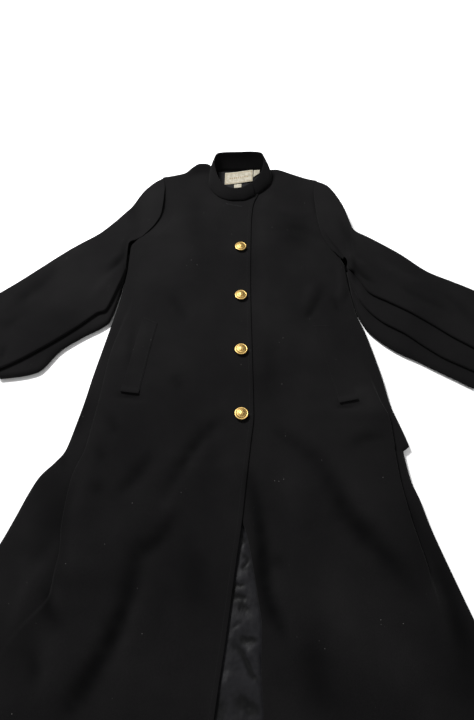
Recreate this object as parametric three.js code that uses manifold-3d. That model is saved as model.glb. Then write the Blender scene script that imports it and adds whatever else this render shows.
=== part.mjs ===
// A long black wool coat with a stand collar, laid on its back with its sleeves out and its front buttoned.
// Millimetres. X runs across the coat, Y from the hem to the collar and Z up from the floor it lies on.
// Right and left in the names are the wearer's, so the right front and sleeve lie on the -X side.
import * as THREE from 'three';
import { mergeVertices } from 'three/addons/utils/BufferGeometryUtils.js';
import Module from 'manifold-3d';

const manifold = await Module();
manifold.setup();

// Driving sizes of the cloth.
const CLOTH = 2.6;
const COLLAR_CLOTH = 3;
const LINING_CLOTH = 1;
const LABEL_CLOTH = 1;
const SEAM_GAP = 0.4;
const TURN_RADIUS = 1.9;
const TURN_LENGTH = Math.PI * TURN_RADIUS;
const SEAM_HEIGHT = 7.1;
const SIDE_ROUND = 9;
const FOLD_LEAST = 0.7;
const ARMHOLE_HEIGHT = 24;
const ARMHOLE_EDGE = 34;
const ARMHOLE_RISE = 60;
const SHOULDER_ROUND = 13;
const BUTTON_STAND = 66;
const FRONT_LAP = CLOTH + 0.5;
const LAP_MARGIN = 10;
const FRONT_CROWN = 5;
const CROWN_END = { from: 330, to: 420 };
const LAP_FADE = 26;
const LAP_START = { from: -560, to: -340 };
const HEM_DROP = 52;
const HEM_DROP_REACH = 500;
const FINEST_EDGE = 0.08;

// Driving sizes of the trimmings.
const BUTTON_RADIUS = 12.5;
const BUTTON_HEIGHT = 5.5;
const BUTTON_SHANK = 4;
const BUTTON_X = 8;
const BUTTONS_Y = [276, 139, 5, -133];
const WELT_CLOTH = 2.2;
const FLOOR_MIDDLE = CLOTH / 2;

// The edge of the right front, which lies on top, from the hem to the neck.
const TOP_EDGE = [
  { y: -708, x: -46 }, { y: -593, x: -32 }, { y: -489, x: -16 }, { y: -382, x: -1 }, { y: -322, x: 8 },
  { y: -258, x: 15 }, { y: -185, x: 24 }, { y: -130, x: 30 }, { y: 140, x: 28 }, { y: 349, x: 32 },
  { y: 402, x: 36 }, { y: 423, x: 40 }, { y: 450, x: 50 }, { y: 530, x: 60 },
];
// The edge of the left front, hidden under the right one down to the skirt.
const UNDER_EDGE = [
  { y: -708, x: 41 }, { y: -590, x: 37 }, { y: -528, x: 35 }, { y: -480, x: 37 }, { y: -437, x: 32 },
  { y: -386, x: 24 }, { y: -344, x: 16 }, { y: -319, x: 8 }, { y: -230, x: -12 }, { y: -133, x: -22 },
  { y: 530, x: -20 },
];
// How high the buttoned edges lie.
const EDGE_HEIGHT = [
  { y: -708, z: 10 }, { y: -593, z: 10.5 }, { y: -450, z: 12 }, { y: -320, z: 15 }, { y: -250, z: 18.5 },
  { y: -133, z: 23 }, { y: 11, z: 25.5 }, { y: 139, z: 26.5 }, { y: 276, z: 27.5 }, { y: 400, z: 28.1 },
  { y: 530, z: 28.1 },
];

// Sections down each side seam: the seam, the edge of the laid side pleat, how far the cloth turns there
// in degrees, how deep it goes back under, and how high the outer layer lies.
const SIDE_RIGHT = [
  { y: -655, x: -532, edge: -420, turn: 4, depth: 0, outer: 12 },
  { y: -560, x: -486, edge: -376, turn: 4, depth: 0, outer: 12 },
  { y: -470, x: -439, edge: -330, turn: 12, depth: 0, outer: 12 },
  { y: -410, x: -408, edge: -284, turn: 70, depth: 0, outer: 12 },
  { y: -358, x: -382, edge: -280, turn: 180, depth: 8, outer: 12 },
  { y: -314, x: -366, edge: -285, turn: 180, depth: 20, outer: 12 },
  { y: -275, x: -353, edge: -284, turn: 180, depth: 27, outer: 12 },
  { y: -245, x: -340, edge: -281, turn: 180, depth: 28, outer: 12 },
  { y: -220, x: -319, edge: -274, turn: 180, depth: 22, outer: 12 },
  { y: -197, x: -304, edge: -266, turn: 180, depth: 16, outer: 12 },
  { y: -140, x: -292, edge: -259, turn: 180, depth: 13, outer: 12 },
  { y: -95, x: -284, edge: -254, turn: 180, depth: 10, outer: 12 },
  { y: -40, x: -276, edge: -250, turn: 180, depth: 6, outer: 12.5 },
  { y: 20, x: -266, edge: -243, turn: 110, depth: 0, outer: 13 },
  { y: 80, x: -256, edge: -230, turn: 40, depth: 0, outer: 14 },
  { y: 150, x: -245, edge: -216, turn: 6, depth: 0, outer: 15 },
  { y: 220, x: -240, edge: -210, turn: 4, depth: 0, outer: 17 },
  { y: 290, x: -240, edge: -208, turn: 4, depth: 0, outer: 20 },
];
const SIDE_LEFT = [
  { y: -655, x: 410, edge: 330, turn: 4, depth: 0, outer: 12 },
  { y: -560, x: 383, edge: 316, turn: 4, depth: 0, outer: 12 },
  { y: -469, x: 356, edge: 308, turn: 12, depth: 0, outer: 12 },
  { y: -400, x: 336, edge: 300, turn: 70, depth: 0, outer: 12 },
  { y: -350, x: 322, edge: 291, turn: 160, depth: 0, outer: 12 },
  { y: -326, x: 316, edge: 287, turn: 180, depth: 6, outer: 12 },
  { y: -286, x: 308, edge: 281, turn: 180, depth: 10, outer: 12 },
  { y: -249, x: 298, edge: 277, turn: 180, depth: 12, outer: 12 },
  { y: -197, x: 294, edge: 276, turn: 180, depth: 12, outer: 12 },
  { y: -188, x: 306, edge: 277, turn: 180, depth: 11, outer: 12 },
  { y: -150, x: 297, edge: 277, turn: 180, depth: 8, outer: 12 },
  { y: -104, x: 285, edge: 266, turn: 90, depth: 0, outer: 12 },
  { y: -52, x: 279, edge: 254, turn: 30, depth: 0, outer: 13 },
  { y: 3, x: 270, edge: 243, turn: 6, depth: 0, outer: 14 },
  { y: 59, x: 259, edge: 230, turn: 4, depth: 0, outer: 15 },
  { y: 105, x: 247, edge: 218, turn: 4, depth: 0, outer: 16 },
  { y: 165, x: 240, edge: 211, turn: 4, depth: 0, outer: 18 },
  { y: 238, x: 236, edge: 206, turn: 4, depth: 0, outer: 20 },
];
// The armhole seams from just above the underarm to the shoulder point.
const ARMHOLE_RIGHT = [
  { y: 304, x: -226 }, { y: 320, x: -211 }, { y: 350, x: -190 }, { y: 386, x: -178 }, { y: 430, x: -176 },
  { y: 470, x: -176 }, { y: 495, x: -179 },
];
const ARMHOLE_LEFT = [
  { y: 256, x: 222 }, { y: 280, x: 208 }, { y: 320, x: 194 }, { y: 375, x: 187 }, { y: 430, x: 186 },
  { y: 465, x: 187 }, { y: 488, x: 191 },
];
const SHOULDER_POINT_RIGHT = { x: -182, y: 521 };
const SHOULDER_POINT_LEFT = { x: 195, y: 509 };

// The shoulder line behind the collar: how far it bows out and how much it stands up, from collar to sleeve.
const SHOULDER_RIGHT = [
  { x: -182, bow: 0, lift: 0 }, { x: -150, bow: 6, lift: 0 }, { x: -128, bow: 10, lift: 1 },
  { x: -108, bow: 22, lift: 10 }, { x: -92, bow: 28, lift: 15 }, { x: -76, bow: 27, lift: 14 },
  { x: -56, bow: 16, lift: 6 }, { x: 0, bow: 3, lift: 0 }, { x: 60, bow: 0, lift: 0 },
];
const SHOULDER_LEFT = [
  { x: -20, bow: 0, lift: 0 }, { x: 40, bow: 8, lift: 0 }, { x: 80, bow: 15, lift: 2 },
  { x: 100, bow: 19, lift: 3 }, { x: 131, bow: 13, lift: 1 }, { x: 157, bow: 7, lift: 0 },
  { x: 180, bow: 2, lift: 0 }, { x: 195, bow: 0, lift: 0 },
];
const NAPE_Y = 529;
const NAPE_HEIGHT = 34.7;
const NAPE_RISE = 76;
const SHOULDER_SEAM_HEIGHT = 18;
const SHOULDER_NECK_HEIGHT = 30;
const COLLAR_BULGE = 2.5;
const SLEEVE_ROUND = 12;
const SLEEVE_CROWN = 6;
const SLEEVE_INSIDE = 7;
const CRUMPLE_HEIGHT = 4;
const BUTTON_SEAT_GAP = 0.3;

// The neck seam and the rim of the collar band, from its under end round the nape to its top end.
const COLLAR = [
  { x: -14, y: 431, z: 28, rimX: -12, rimY: 452, rimZ: 43.5 },
  { x: 14, y: 432, z: 28, rimX: 10, rimY: 454, rimZ: 43.5 },
  { x: 38, y: 444, z: 28.6, rimX: 28, rimY: 464, rimZ: 44.5 },
  { x: 60, y: 462, z: 31.3, rimX: 44, rimY: 479, rimZ: 49 },
  { x: 80, y: 488, z: 33, rimX: 59, rimY: 502, rimZ: 56 },
  { x: 83, y: 511, z: 35, rimX: 65, rimY: 528, rimZ: 65 },
  { x: 68, y: 527, z: 35.6, rimX: 57, rimY: 545, rimZ: 74 },
  { x: 38, y: 530.5, z: 35.6, rimX: 33, rimY: 548, rimZ: 75 },
  { x: 8, y: 530.5, z: 35.6, rimX: 6, rimY: 548, rimZ: 74 },
  { x: -24, y: 530.5, z: 35.6, rimX: -21, rimY: 548, rimZ: 73.5 },
  { x: -50, y: 526.5, z: 35.6, rimX: -45, rimY: 545, rimZ: 73 },
  { x: -66, y: 509, z: 34.5, rimX: -55, rimY: 526, rimZ: 64 },
  { x: -67, y: 486, z: 32.4, rimX: -50, rimY: 499, rimZ: 55 },
  { x: -55, y: 457, z: 31.6, rimX: -40, rimY: 474, rimZ: 50 },
  { x: -36, y: 436, z: 31.8, rimX: -27, rimY: 458, rimZ: 47.5 },
  { x: -10, y: 427, z: 32.2, rimX: -8, rimY: 450, rimZ: 47.5 },
  { x: 14, y: 428, z: 32.4, rimX: 10, rimY: 452, rimZ: 47.8 },
  { x: 41, y: 443, z: 33, rimX: 33, rimY: 466, rimZ: 49 },
];

// Sections along each sleeve from the armhole to the cuff: a point on the ridge and one on the lower edge,
// the laid folds between them, given by their distance from the ridge, and the height of the lowest layer.
const SLEEVE_RIGHT = [
  { x: -183, y: 521, lowX: -243, lowY: 291, follow: 1, outer: 24, folds: [{ at: 203, turn: 4, depth: 0 }] },
  { x: -203, y: 508, lowX: -248.5, lowY: 262, follow: 0.7, outer: 21, folds: [{ at: 219, turn: 4, depth: 0 }] },
  { x: -225, y: 482, lowX: -247, lowY: 224, follow: 0.35, outer: 16, folds: [{ at: 232, turn: 20, depth: 0 }] },
  { x: -244, y: 434, lowX: -249, lowY: 176, follow: 0.1, outer: 13, folds: [{ at: 234, turn: 90, depth: 0 }] },
  { x: -270, y: 390, lowX: -254, lowY: 132, follow: 0, outer: 12, folds: [{ at: 229, turn: 150, depth: 0 }] },
  { x: -316, y: 332, lowX: -264, lowY: 88, follow: 0, outer: 12, folds: [{ at: 223, turn: 180, depth: 8 }] },
  { x: -370, y: 288, lowX: -278, lowY: 74, follow: 0, outer: 12, folds: [{ at: 204, turn: 180, depth: 18 }] },
  { x: -430, y: 230, lowX: -314, lowY: 50, follow: 0, outer: 12, folds: [{ at: 194, turn: 180, depth: 18 }] },
  { x: -478, y: 182, lowX: -352, lowY: 18, follow: 0, outer: 12, folds: [{ at: 187, turn: 180, depth: 18 }] },
  { x: -520, y: 145, lowX: -386, lowY: -31, follow: 0, outer: 12, folds: [{ at: 185, turn: 180, depth: 18 }] },
  { x: -546, y: 122, lowX: -419, lowY: -41, follow: 0, outer: 12, folds: [{ at: 180, turn: 180, depth: 18 }] },
  { x: -568, y: 102, lowX: -456, lowY: -46, follow: 0, outer: 12, folds: [{ at: 172, turn: 180, depth: 12 }] },
];
const SLEEVE_LEFT = [
  { x: 196, y: 509, lowX: 240, lowY: 238, follow: 1, outer: 24,
    folds: [{ at: 158, turn: 4, depth: 0 }, { at: 218, turn: 4, depth: 0 }] },
  { x: 222, y: 492, lowX: 246.5, lowY: 205, follow: 0.6, outer: 21,
    folds: [{ at: 212, turn: 40, depth: 0 }, { at: 250, turn: 4, depth: 0 }] },
  { x: 246, y: 432, lowX: 246, lowY: 164, follow: 0.2, outer: 15,
    folds: [{ at: 208, turn: 110, depth: 0 }, { at: 242, turn: 40, depth: 0 }] },
  { x: 264, y: 342, lowX: 250, lowY: 116, follow: 0, outer: 12,
    folds: [{ at: 144, turn: 180, depth: 8 }, { at: 192, turn: 150, depth: 0 }] },
  { x: 300, y: 314, lowX: 264, lowY: 72, follow: 0, outer: 12,
    folds: [{ at: 166, turn: 180, depth: 14 }, { at: 206, turn: 180, depth: 10 }] },
  { x: 358, y: 267, lowX: 285, lowY: 44, follow: 0, outer: 12,
    folds: [{ at: 150, turn: 180, depth: 14 }, { at: 198, turn: 180, depth: 12 }] },
  { x: 412, y: 215, lowX: 320, lowY: 14, follow: 0, outer: 12,
    folds: [{ at: 133, turn: 180, depth: 14 }, { at: 181, turn: 180, depth: 12 }] },
  { x: 458, y: 188, lowX: 358, lowY: -8, follow: 0, outer: 12,
    folds: [{ at: 140, turn: 180, depth: 14 }, { at: 190, turn: 180, depth: 12 }] },
  { x: 502, y: 161, lowX: 392, lowY: -30, follow: 0, outer: 12,
    folds: [{ at: 147, turn: 180, depth: 14 }, { at: 195, turn: 180, depth: 12 }] },
  { x: 542, y: 135, lowX: 424, lowY: -50, follow: 0, outer: 12,
    folds: [{ at: 149, turn: 180, depth: 14 }, { at: 193, turn: 180, depth: 10 }] },
  { x: 578, y: 110, lowX: 452, lowY: -68, follow: 0, outer: 12,
    folds: [{ at: 150, turn: 180, depth: 12 }, { at: 190, turn: 180, depth: 8 }] },
];

// The corners of each pocket welt, from the lower inner one round to the lower outer one.
const WELT_RIGHT = [{ x: -182, y: -92 }, { x: -159, y: 70 }, { x: -190, y: 88 }, { x: -217, y: -87 }];
const WELT_LEFT = [{ x: 187, y: -112 }, { x: 152, y: 66 }, { x: 183, y: 68 }, { x: 223, y: -104 }];

// A value of one column of a table at any place between its rows, on a smooth curve without overshoot.
function read(table, key, column, place) {
  const rows = table[0][key] < table[table.length - 1][key] ? table : [...table].reverse();
  const last = rows.length - 1;
  if (place <= rows[0][key]) return rows[0][column];
  if (place >= rows[last][key]) return rows[last][column];
  const i = rows.findIndex((row) => row[key] > place) - 1;
  const slope = (k) => (rows[k + 1][column] - rows[k][column]) / (rows[k + 1][key] - rows[k][key]);
  const tangent = (k) => {
    if (k === 0 || k === last) return slope(Math.min(k, last - 1));
    const before = slope(k - 1);
    const after = slope(k);
    return before * after <= 0 ? 0 : (2 * before * after) / (before + after);
  };
  const span = rows[i + 1][key] - rows[i][key];
  const t = (place - rows[i][key]) / span;
  const rise = t * t * (3 - 2 * t);
  const bends = t * (1 - t) * span * ((1 - t) * tangent(i) - t * tangent(i + 1));
  return rows[i][column] * (1 - rise) + rows[i + 1][column] * rise + bends;
}

const { lerp, smoothstep, degToRad } = THREE.MathUtils;
const clamp01 = (value) => Math.min(Math.max(value, 0), 1);

// A closed cloth wall of even thickness on a grid of points that run through the middle of the cloth.
function wall(grid, thickness) {
  const rows = grid.length;
  const columns = grid[0].length;
  const at = (i, j) => grid[clampIndex(i, rows)][clampIndex(j, columns)];
  const positions = [];
  for (const side of [0.5, -0.5]) {
    for (let i = 0; i < rows; i += 1) {
      for (let j = 0; j < columns; j += 1) {
        const across = slopeAcross(at, i, j, columns);
        const along = at(i + 1, j).clone().sub(at(i - 1, j));
        const normal = across.cross(along).normalize();
        const point = at(i, j).clone().addScaledVector(normal, side * thickness);
        positions.push(point.x, point.y, point.z);
      }
    }
  }
  const top = (i, j) => i * columns + j;
  const under = (i, j) => rows * columns + top(i, j);
  const faces = [];
  const quad = (a, b, c, d) => faces.push(a, b, c, a, c, d);
  for (let i = 0; i < rows - 1; i += 1) {
    for (let j = 0; j < columns - 1; j += 1) {
      quad(top(i, j), top(i, j + 1), top(i + 1, j + 1), top(i + 1, j));
      quad(under(i, j), under(i + 1, j), under(i + 1, j + 1), under(i, j + 1));
    }
  }
  for (let j = 0; j < columns - 1; j += 1) {
    quad(top(0, j + 1), top(0, j), under(0, j), under(0, j + 1));
    quad(top(rows - 1, j), top(rows - 1, j + 1), under(rows - 1, j + 1), under(rows - 1, j));
  }
  for (let i = 0; i < rows - 1; i += 1) {
    quad(top(i, 0), top(i + 1, 0), under(i + 1, 0), under(i, 0));
    quad(top(i + 1, columns - 1), top(i, columns - 1), under(i, columns - 1), under(i + 1, columns - 1));
  }
  const geometry = new THREE.BufferGeometry();
  geometry.setAttribute('position', new THREE.Float32BufferAttribute(positions, 3));
  geometry.setIndex(faces);
  return geometry;
}

const clampIndex = (index, count) => Math.min(Math.max(index, 0), count - 1);

// The direction across a grid at one point, true to the curve at the two edges as well.
function slopeAcross(at, i, j, columns) {
  if (j > 0 && j < columns - 1) return at(i, j + 1).clone().sub(at(i, j - 1));
  const inward = j === 0 ? 1 : -1;
  const near = at(i, j + inward).clone().sub(at(i, j)).multiplyScalar(4 * inward);
  return near.addScaledVector(at(i, j + 2 * inward).clone().sub(at(i, j)), -inward);
}

// The laid path across a panel, as distances from its first edge and drops below its top layer.
// rise is 1 on the flat and falls to 0 at a rounded edge, where the cloth comes down to its seam.
function crossSection(width, folds, firstRound, lastRound, flats) {
  const path = [];
  const roundSteps = 4;
  const turnSteps = 4;
  if (firstRound > 0) {
    for (let k = 0; k < roundSteps; k += 1) {
      const angle = (k / roundSteps) * (Math.PI / 2);
      path.push({ s: firstRound * (1 - Math.cos(angle)), drop: 0, rise: Math.sin(angle) });
    }
  }
  let s = firstRound;
  let drop = 0;
  folds.forEach((fold, index) => {
    const turn = degToRad(fold.turn);
    const radius = TURN_LENGTH / turn;
    const start = fold.at - radius * Math.sin(Math.min(turn, Math.PI / 2));
    const under = FOLD_LEAST + fold.depth;
    for (let k = 0; k < flats[index]; k += 1) path.push({ s: lerp(s, start, k / flats[index]), drop, rise: 1 });
    for (let k = 0; k <= turnSteps; k += 1) {
      const angle = (turn * k) / turnSteps;
      path.push({ s: start + radius * Math.sin(angle), drop: drop + radius * (1 - Math.cos(angle)), rise: 1 });
    }
    s = start + radius * Math.sin(turn) + under * Math.cos(turn);
    drop += radius * (1 - Math.cos(turn)) + under * Math.sin(turn);
    for (let k = 0; k < turnSteps; k += 1) {
      const angle = turn * (1 - k / turnSteps);
      path.push({
        s: s + radius * (Math.sin(turn) - Math.sin(angle)),
        drop: drop + radius * (Math.cos(angle) - Math.cos(turn)),
        rise: 1,
      });
    }
    s += radius * Math.sin(turn);
    drop += radius * (1 - Math.cos(turn));
  });
  const end = width - lastRound;
  const count = flats[folds.length];
  for (let k = 0; k <= count; k += 1) path.push({ s: lerp(s, end, k / count), drop, rise: 1 });
  if (lastRound > 0) {
    for (let k = roundSteps - 1; k >= 0; k -= 1) {
      const angle = (k / roundSteps) * (Math.PI / 2);
      path.push({ s: width - lastRound * (1 - Math.cos(angle)), drop, rise: Math.sin(angle) });
    }
  }
  return path;
}

const totalDrop = (path) => path[path.length - 1].drop;
const NECK_END = { x: 32, y: 528 };

// The stations of one half of the coat, from the hem up to the shoulder line.
function stations(side, armhole, shoulder) {
  const hem = side[0];
  const underarm = side[side.length - 1];
  const toward = Math.sign(underarm.x);
  const below = side.map((row) => ({
    ...row,
    seam: SEAM_HEIGHT,
    backSeam: SEAM_HEIGHT - SEAM_GAP,
    bow: 0,
    startY: row.y - HEM_DROP * (1 - clamp01((row.y - hem.y) / HEM_DROP_REACH)),
  }));
  const upTo = (y) => (y - underarm.y) / (shoulder.y - underarm.y);
  const aboveUnderarm = (row, k) => {
    const open = smoothstep(k, -1, 1);
    return {
      ...row,
      edge: row.x - toward * ARMHOLE_EDGE,
      turn: 4,
      depth: 0,
      outer: lerp(underarm.outer, ARMHOLE_HEIGHT, open),
      seam: lerp(SEAM_HEIGHT, ARMHOLE_HEIGHT * 2, open),
      backSeam: lerp(SEAM_HEIGHT - SEAM_GAP, FLOOR_MIDDLE, open),
      bow: smoothstep(row.y, underarm.y + ARMHOLE_RISE, shoulder.y - SHOULDER_ROUND),
      startY: lerp(underarm.y, NECK_END.y, upTo(row.y)),
    };
  };
  const rounded = [0.45, 0.12, 0].map((share) => ({ x: shoulder.x, y: shoulder.y - share * SHOULDER_ROUND }));
  const above = [...armhole, ...rounded].map(aboveUnderarm);
  above.slice(-rounded.length).forEach((row) => {
    row.startY = NECK_END.y - (shoulder.y - row.y);
    row.bow = 1;
  });
  return [...below, ...above];
}

const STATIONS_RIGHT = stations(SIDE_RIGHT, ARMHOLE_RIGHT, SHOULDER_POINT_RIGHT);
const STATIONS_LEFT = stations(SIDE_LEFT, ARMHOLE_LEFT, SHOULDER_POINT_LEFT);

const lineFromNeck = (point, x) => lerp(NECK_END.y, point.y, (x - NECK_END.x) / (point.x - NECK_END.x));

// The line of both shoulder seams and of the nape between them.
function topEdge(x) {
  const right = lineFromNeck(SHOULDER_POINT_RIGHT, x) + read(SHOULDER_RIGHT, 'x', 'bow', x);
  const left = lineFromNeck(SHOULDER_POINT_LEFT, x) + read(SHOULDER_LEFT, 'x', 'bow', x);
  const shoulder = x < 0 ? right : left;
  return lerp(NAPE_Y, shoulder, 1 - napeShare(x));
}

const NECK_MIDDLE = 8;
const NAPE_HALF = { from: 60, to: 74 };
const NECK_RIDGE = { from: 70, to: 180 };
const RIDGE_LIFT = 0.4;
const LIFT_FADE = { from: 4, to: 24 };
const napeShare = (x) => 1 - smoothstep(Math.abs(x - NECK_MIDDLE), NAPE_HALF.from, NAPE_HALF.to);
const shoulderTable = (x) => (x < 0 ? SHOULDER_RIGHT : SHOULDER_LEFT);

// How high the shoulder seam lies: low at the sleeve, up with the ridge beside the collar.
function shoulderSeam(x) {
  const toNeck = 1 - smoothstep(Math.abs(x - NECK_MIDDLE), NECK_RIDGE.from, NECK_RIDGE.to);
  const ridge = RIDGE_LIFT * read(shoulderTable(x), 'x', 'lift', x);
  return lerp(SHOULDER_SEAM_HEIGHT, SHOULDER_NECK_HEIGHT, toNeck) + ridge;
}

// How far a place has come down to the lowest line of a section, which hangs in an arc between its seams.
function hemShare(k, x) {
  const right = STATIONS_RIGHT[k].x;
  const t = (x - right) / (STATIONS_LEFT[k].x - right);
  return 1 - (1 - 2 * t) ** 4;
}

// One front as a grid of points, a row for each station from the hem to the shoulder.
function frontGrid(rows, edgeTable, lap) {
  const shoulder = rows[rows.length - 1];
  return rows.map((row, k) => {
    const start = { x: read(edgeTable, 'y', 'x', row.startY), y: row.startY };
    const width = Math.hypot(row.x - start.x, row.y - start.y);
    const along = (row.x - start.x) / width;
    const fold = { at: (row.edge - start.x) / along, turn: row.turn, depth: row.depth };
    const path = crossSection(width, [fold], 0, SIDE_ROUND, [9, 3]);
    const sideTop = row.outer + totalDrop(path);
    return path.map((step) => {
      const x = start.x + step.s * along;
      const share = k < SIDE_RIGHT.length ? hemShare(k, x) : 1 - step.s / width;
      const y = lerp(row.y, start.y, share) + row.bow * (topEdge(x) - lineFromNeck(shoulder, x));
      const pastTop = x - read(TOP_EDGE, 'y', 'x', y);
      const stand = lap > 0 ? Math.max(BUTTON_STAND, step.s - pastTop + LAP_MARGIN) : BUTTON_STAND;
      const fromStand = clamp01((step.s - stand) / (width - stand));
      const toSide = smoothstep(step.s, stand, fold.at);
      const below = topEdge(x) - y;
      const nearSeam = 1 - smoothstep(below, LIFT_FADE.from, LIFT_FADE.to);
      const lift = row.bow * read(shoulderTable(x), 'x', 'lift', x) * nearSeam;
      const crowned = 1 - smoothstep(y, CROWN_END.from, CROWN_END.to);
      const crown = FRONT_CROWN * Math.sin(Math.PI * fromStand) * crowned;
      const top = lerp(read(EDGE_HEIGHT, 'y', 'z', y), sideTop, toSide) + crown + lift;
      const underTop = 1 - smoothstep(pastTop, LAP_MARGIN, LAP_MARGIN + LAP_FADE);
      const lapped = lap * underTop * smoothstep(y, LAP_START.from, LAP_START.to);
      const flat = top - step.drop - lapped;
      const seam = Math.min(row.seam, flat);
      const rounded = seam + (flat - seam) * step.rise;
      const ridge = Math.min(shoulderSeam(x), rounded);
      return new THREE.Vector3(x, y, ridge + (rounded - ridge) * shoulderRise(below));
    });
  });
}

const shoulderRise = (below) => Math.sqrt(clamp01(1 - (1 - clamp01(below / SHOULDER_ROUND)) ** 2));

// The back as a grid of points, each row from a station on the right side to the same one on the left.
function backGrid() {
  return STATIONS_RIGHT.map((right, k) => {
    const left = STATIONS_LEFT[k];
    const width = Math.hypot(left.x - right.x, left.y - right.y);
    const path = crossSection(width, [], SIDE_ROUND, SIDE_ROUND, [14]);
    const hem = right.startY - right.y;
    const bow = (right.bow + left.bow) / 2;
    return path.map((step) => {
      const t = step.s / width;
      const x = lerp(right.x, left.x, t);
      const shoulders = lerp(SHOULDER_POINT_RIGHT.y, SHOULDER_POINT_LEFT.y, t);
      const sag = k < SIDE_RIGHT.length ? hem * hemShare(k, x) : 0;
      const y = lerp(right.y, left.y, t) + sag + bow * (topEdge(x) - shoulders);
      const seam = t < 0.5 ? right.backSeam : left.backSeam;
      const side = seam - (seam - FLOOR_MIDDLE) * step.rise;
      return new THREE.Vector3(x, y, Math.max(side, backHeight(x, y)));
    });
  });
}

// How high the back lies: on the floor, rising in a slope to the nape and rounded up to the shoulder seams.
function backHeight(x, y) {
  const below = topEdge(x) - y;
  const nape = napeShare(x);
  const edge = lerp(shoulderSeam(x), NAPE_HEIGHT, nape) - 2.5 * SEAM_GAP;
  const slope = clamp01(1 - below / NAPE_RISE) ** 1.5;
  return FLOOR_MIDDLE + (edge - FLOOR_MIDDLE) * lerp(1 - shoulderRise(below), slope, nape);
}

// A sleeve's sections in plan. follow bends the first ones to the armhole seam.
function sleeveRows(table, armhole, shoulder, underarm) {
  const seam = [underarm, ...armhole, { x: shoulder.x, y: shoulder.y }];
  const inside = SLEEVE_INSIDE * Math.sign(shoulder.x);
  return table.map((row) => ({
    ...row,
    width: Math.hypot(row.lowX - row.x, row.lowY - row.y),
    ridge: lerp(SEAM_HEIGHT, SHOULDER_SEAM_HEIGHT, row.follow),
    place(t) {
      const armholeY = lerp(shoulder.y, underarm.y, t);
      const chord = lerp(shoulder.x, underarm.x, t);
      const bend = read(seam, 'y', 'x', armholeY) - chord - inside;
      return { x: lerp(row.x, row.lowX, t) + row.follow * bend, y: lerp(row.y, row.lowY, t) };
    },
  }));
}

// The upper side of a sleeve, with the folds that it is laid in.
function sleeveUpperGrid(rows, flats) {
  return rows.map((row) => {
    const path = crossSection(row.width, row.folds, SLEEVE_ROUND, SIDE_ROUND, flats);
    const drop = totalDrop(path);
    return path.map((step) => {
      const place = row.place(step.s / row.width);
      const top = row.outer + drop - step.drop + SLEEVE_CROWN * Math.sin(Math.PI * clamp01(step.s / row.width));
      const seam = step.s < row.width / 2 ? row.ridge : SEAM_HEIGHT;
      return new THREE.Vector3(place.x, place.y, seam + (top - seam) * step.rise);
    });
  });
}

// The under side of a sleeve, flat on the floor and rounded up at both edges.
function sleeveUnderGrid(rows) {
  return rows.map((row) => {
    const path = crossSection(row.width, [], SIDE_ROUND, SIDE_ROUND, [6]);
    return path.map((step) => {
      const place = row.place(step.s / row.width);
      const seam = (step.s < row.width / 2 ? row.ridge : SEAM_HEIGHT) - SEAM_GAP;
      return new THREE.Vector3(place.x, place.y, seam - (seam - FLOOR_MIDDLE) * step.rise);
    });
  });
}

// The collar band as a grid of points, a row for each place round the neck.
function collarGrid() {
  const steps = 4;
  const places = [];
  for (let k = 0; k < COLLAR.length - 1; k += 1) {
    places.push(k, k + 0.5);
  }
  places.push(COLLAR.length - 1);
  const table = COLLAR.map((row, k) => ({ ...row, k }));
  const get = (column, k) => read(table, 'k', column, k);
  return places.map((k) => Array.from({ length: steps + 1 }, (_, j) => {
    const up = j / steps;
    const bulge = COLLAR_BULGE * Math.sin(Math.PI * up);
    const x = lerp(get('x', k), get('rimX', k), up);
    const y = lerp(get('y', k), get('rimY', k), up);
    const out = new THREE.Vector2(x - NECK_MIDDLE, y - 490).normalize().multiplyScalar(bulge);
    return new THREE.Vector3(x + out.x, y + out.y, lerp(get('z', k), get('rimZ', k), up) + 0.3 * bulge);
  }));
}

// The highest middle of the cloth over a place in plan, read from a panel's grid.
function heightOn(grid, x, y) {
  const place = new THREE.Vector3(x, y, 0);
  const flat = (point) => new THREE.Vector3(point.x, point.y, 0);
  const weights = new THREE.Vector3();
  let highest = -Infinity;
  for (let i = 0; i < grid.length - 1; i += 1) {
    for (let j = 0; j < grid[0].length - 1; j += 1) {
      const [a, b, c, d] = [grid[i][j], grid[i][j + 1], grid[i + 1][j + 1], grid[i + 1][j]];
      for (const corners of [[a, b, c], [a, c, d]]) {
        const inside = THREE.Triangle.getBarycoord(place, ...corners.map(flat), weights);
        if (inside === null || Math.min(weights.x, weights.y, weights.z) < -1e-6) continue;
        const z = weights.x * corners[0].z + weights.y * corners[1].z + weights.z * corners[2].z;
        highest = Math.max(highest, z);
      }
    }
  }
  return highest;
}

// A flat piece with four corners, laid on a panel: lift is how far its middle lies above the panel's middle.
function laidPiece(corners, across, up, thickness, height) {
  const grid = Array.from({ length: up + 1 }, (_, i) => Array.from({ length: across + 1 }, (_, j) => {
    const [u, v] = [j / across, i / up];
    const x = lerp(lerp(corners[0].x, corners[3].x, u), lerp(corners[1].x, corners[2].x, u), v);
    const y = lerp(lerp(corners[0].y, corners[3].y, u), lerp(corners[1].y, corners[2].y, u), v);
    return new THREE.Vector3(x, y, height(x, y));
  }));
  return wall(grid, thickness);
}

function asSolid(geometry) {
  const { array } = geometry.attributes.position;
  return new manifold.Manifold(new manifold.Mesh({
    numProp: 3,
    vertProperties: new Float32Array(array),
    triVerts: new Uint32Array(geometry.index.array),
  }));
}

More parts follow.
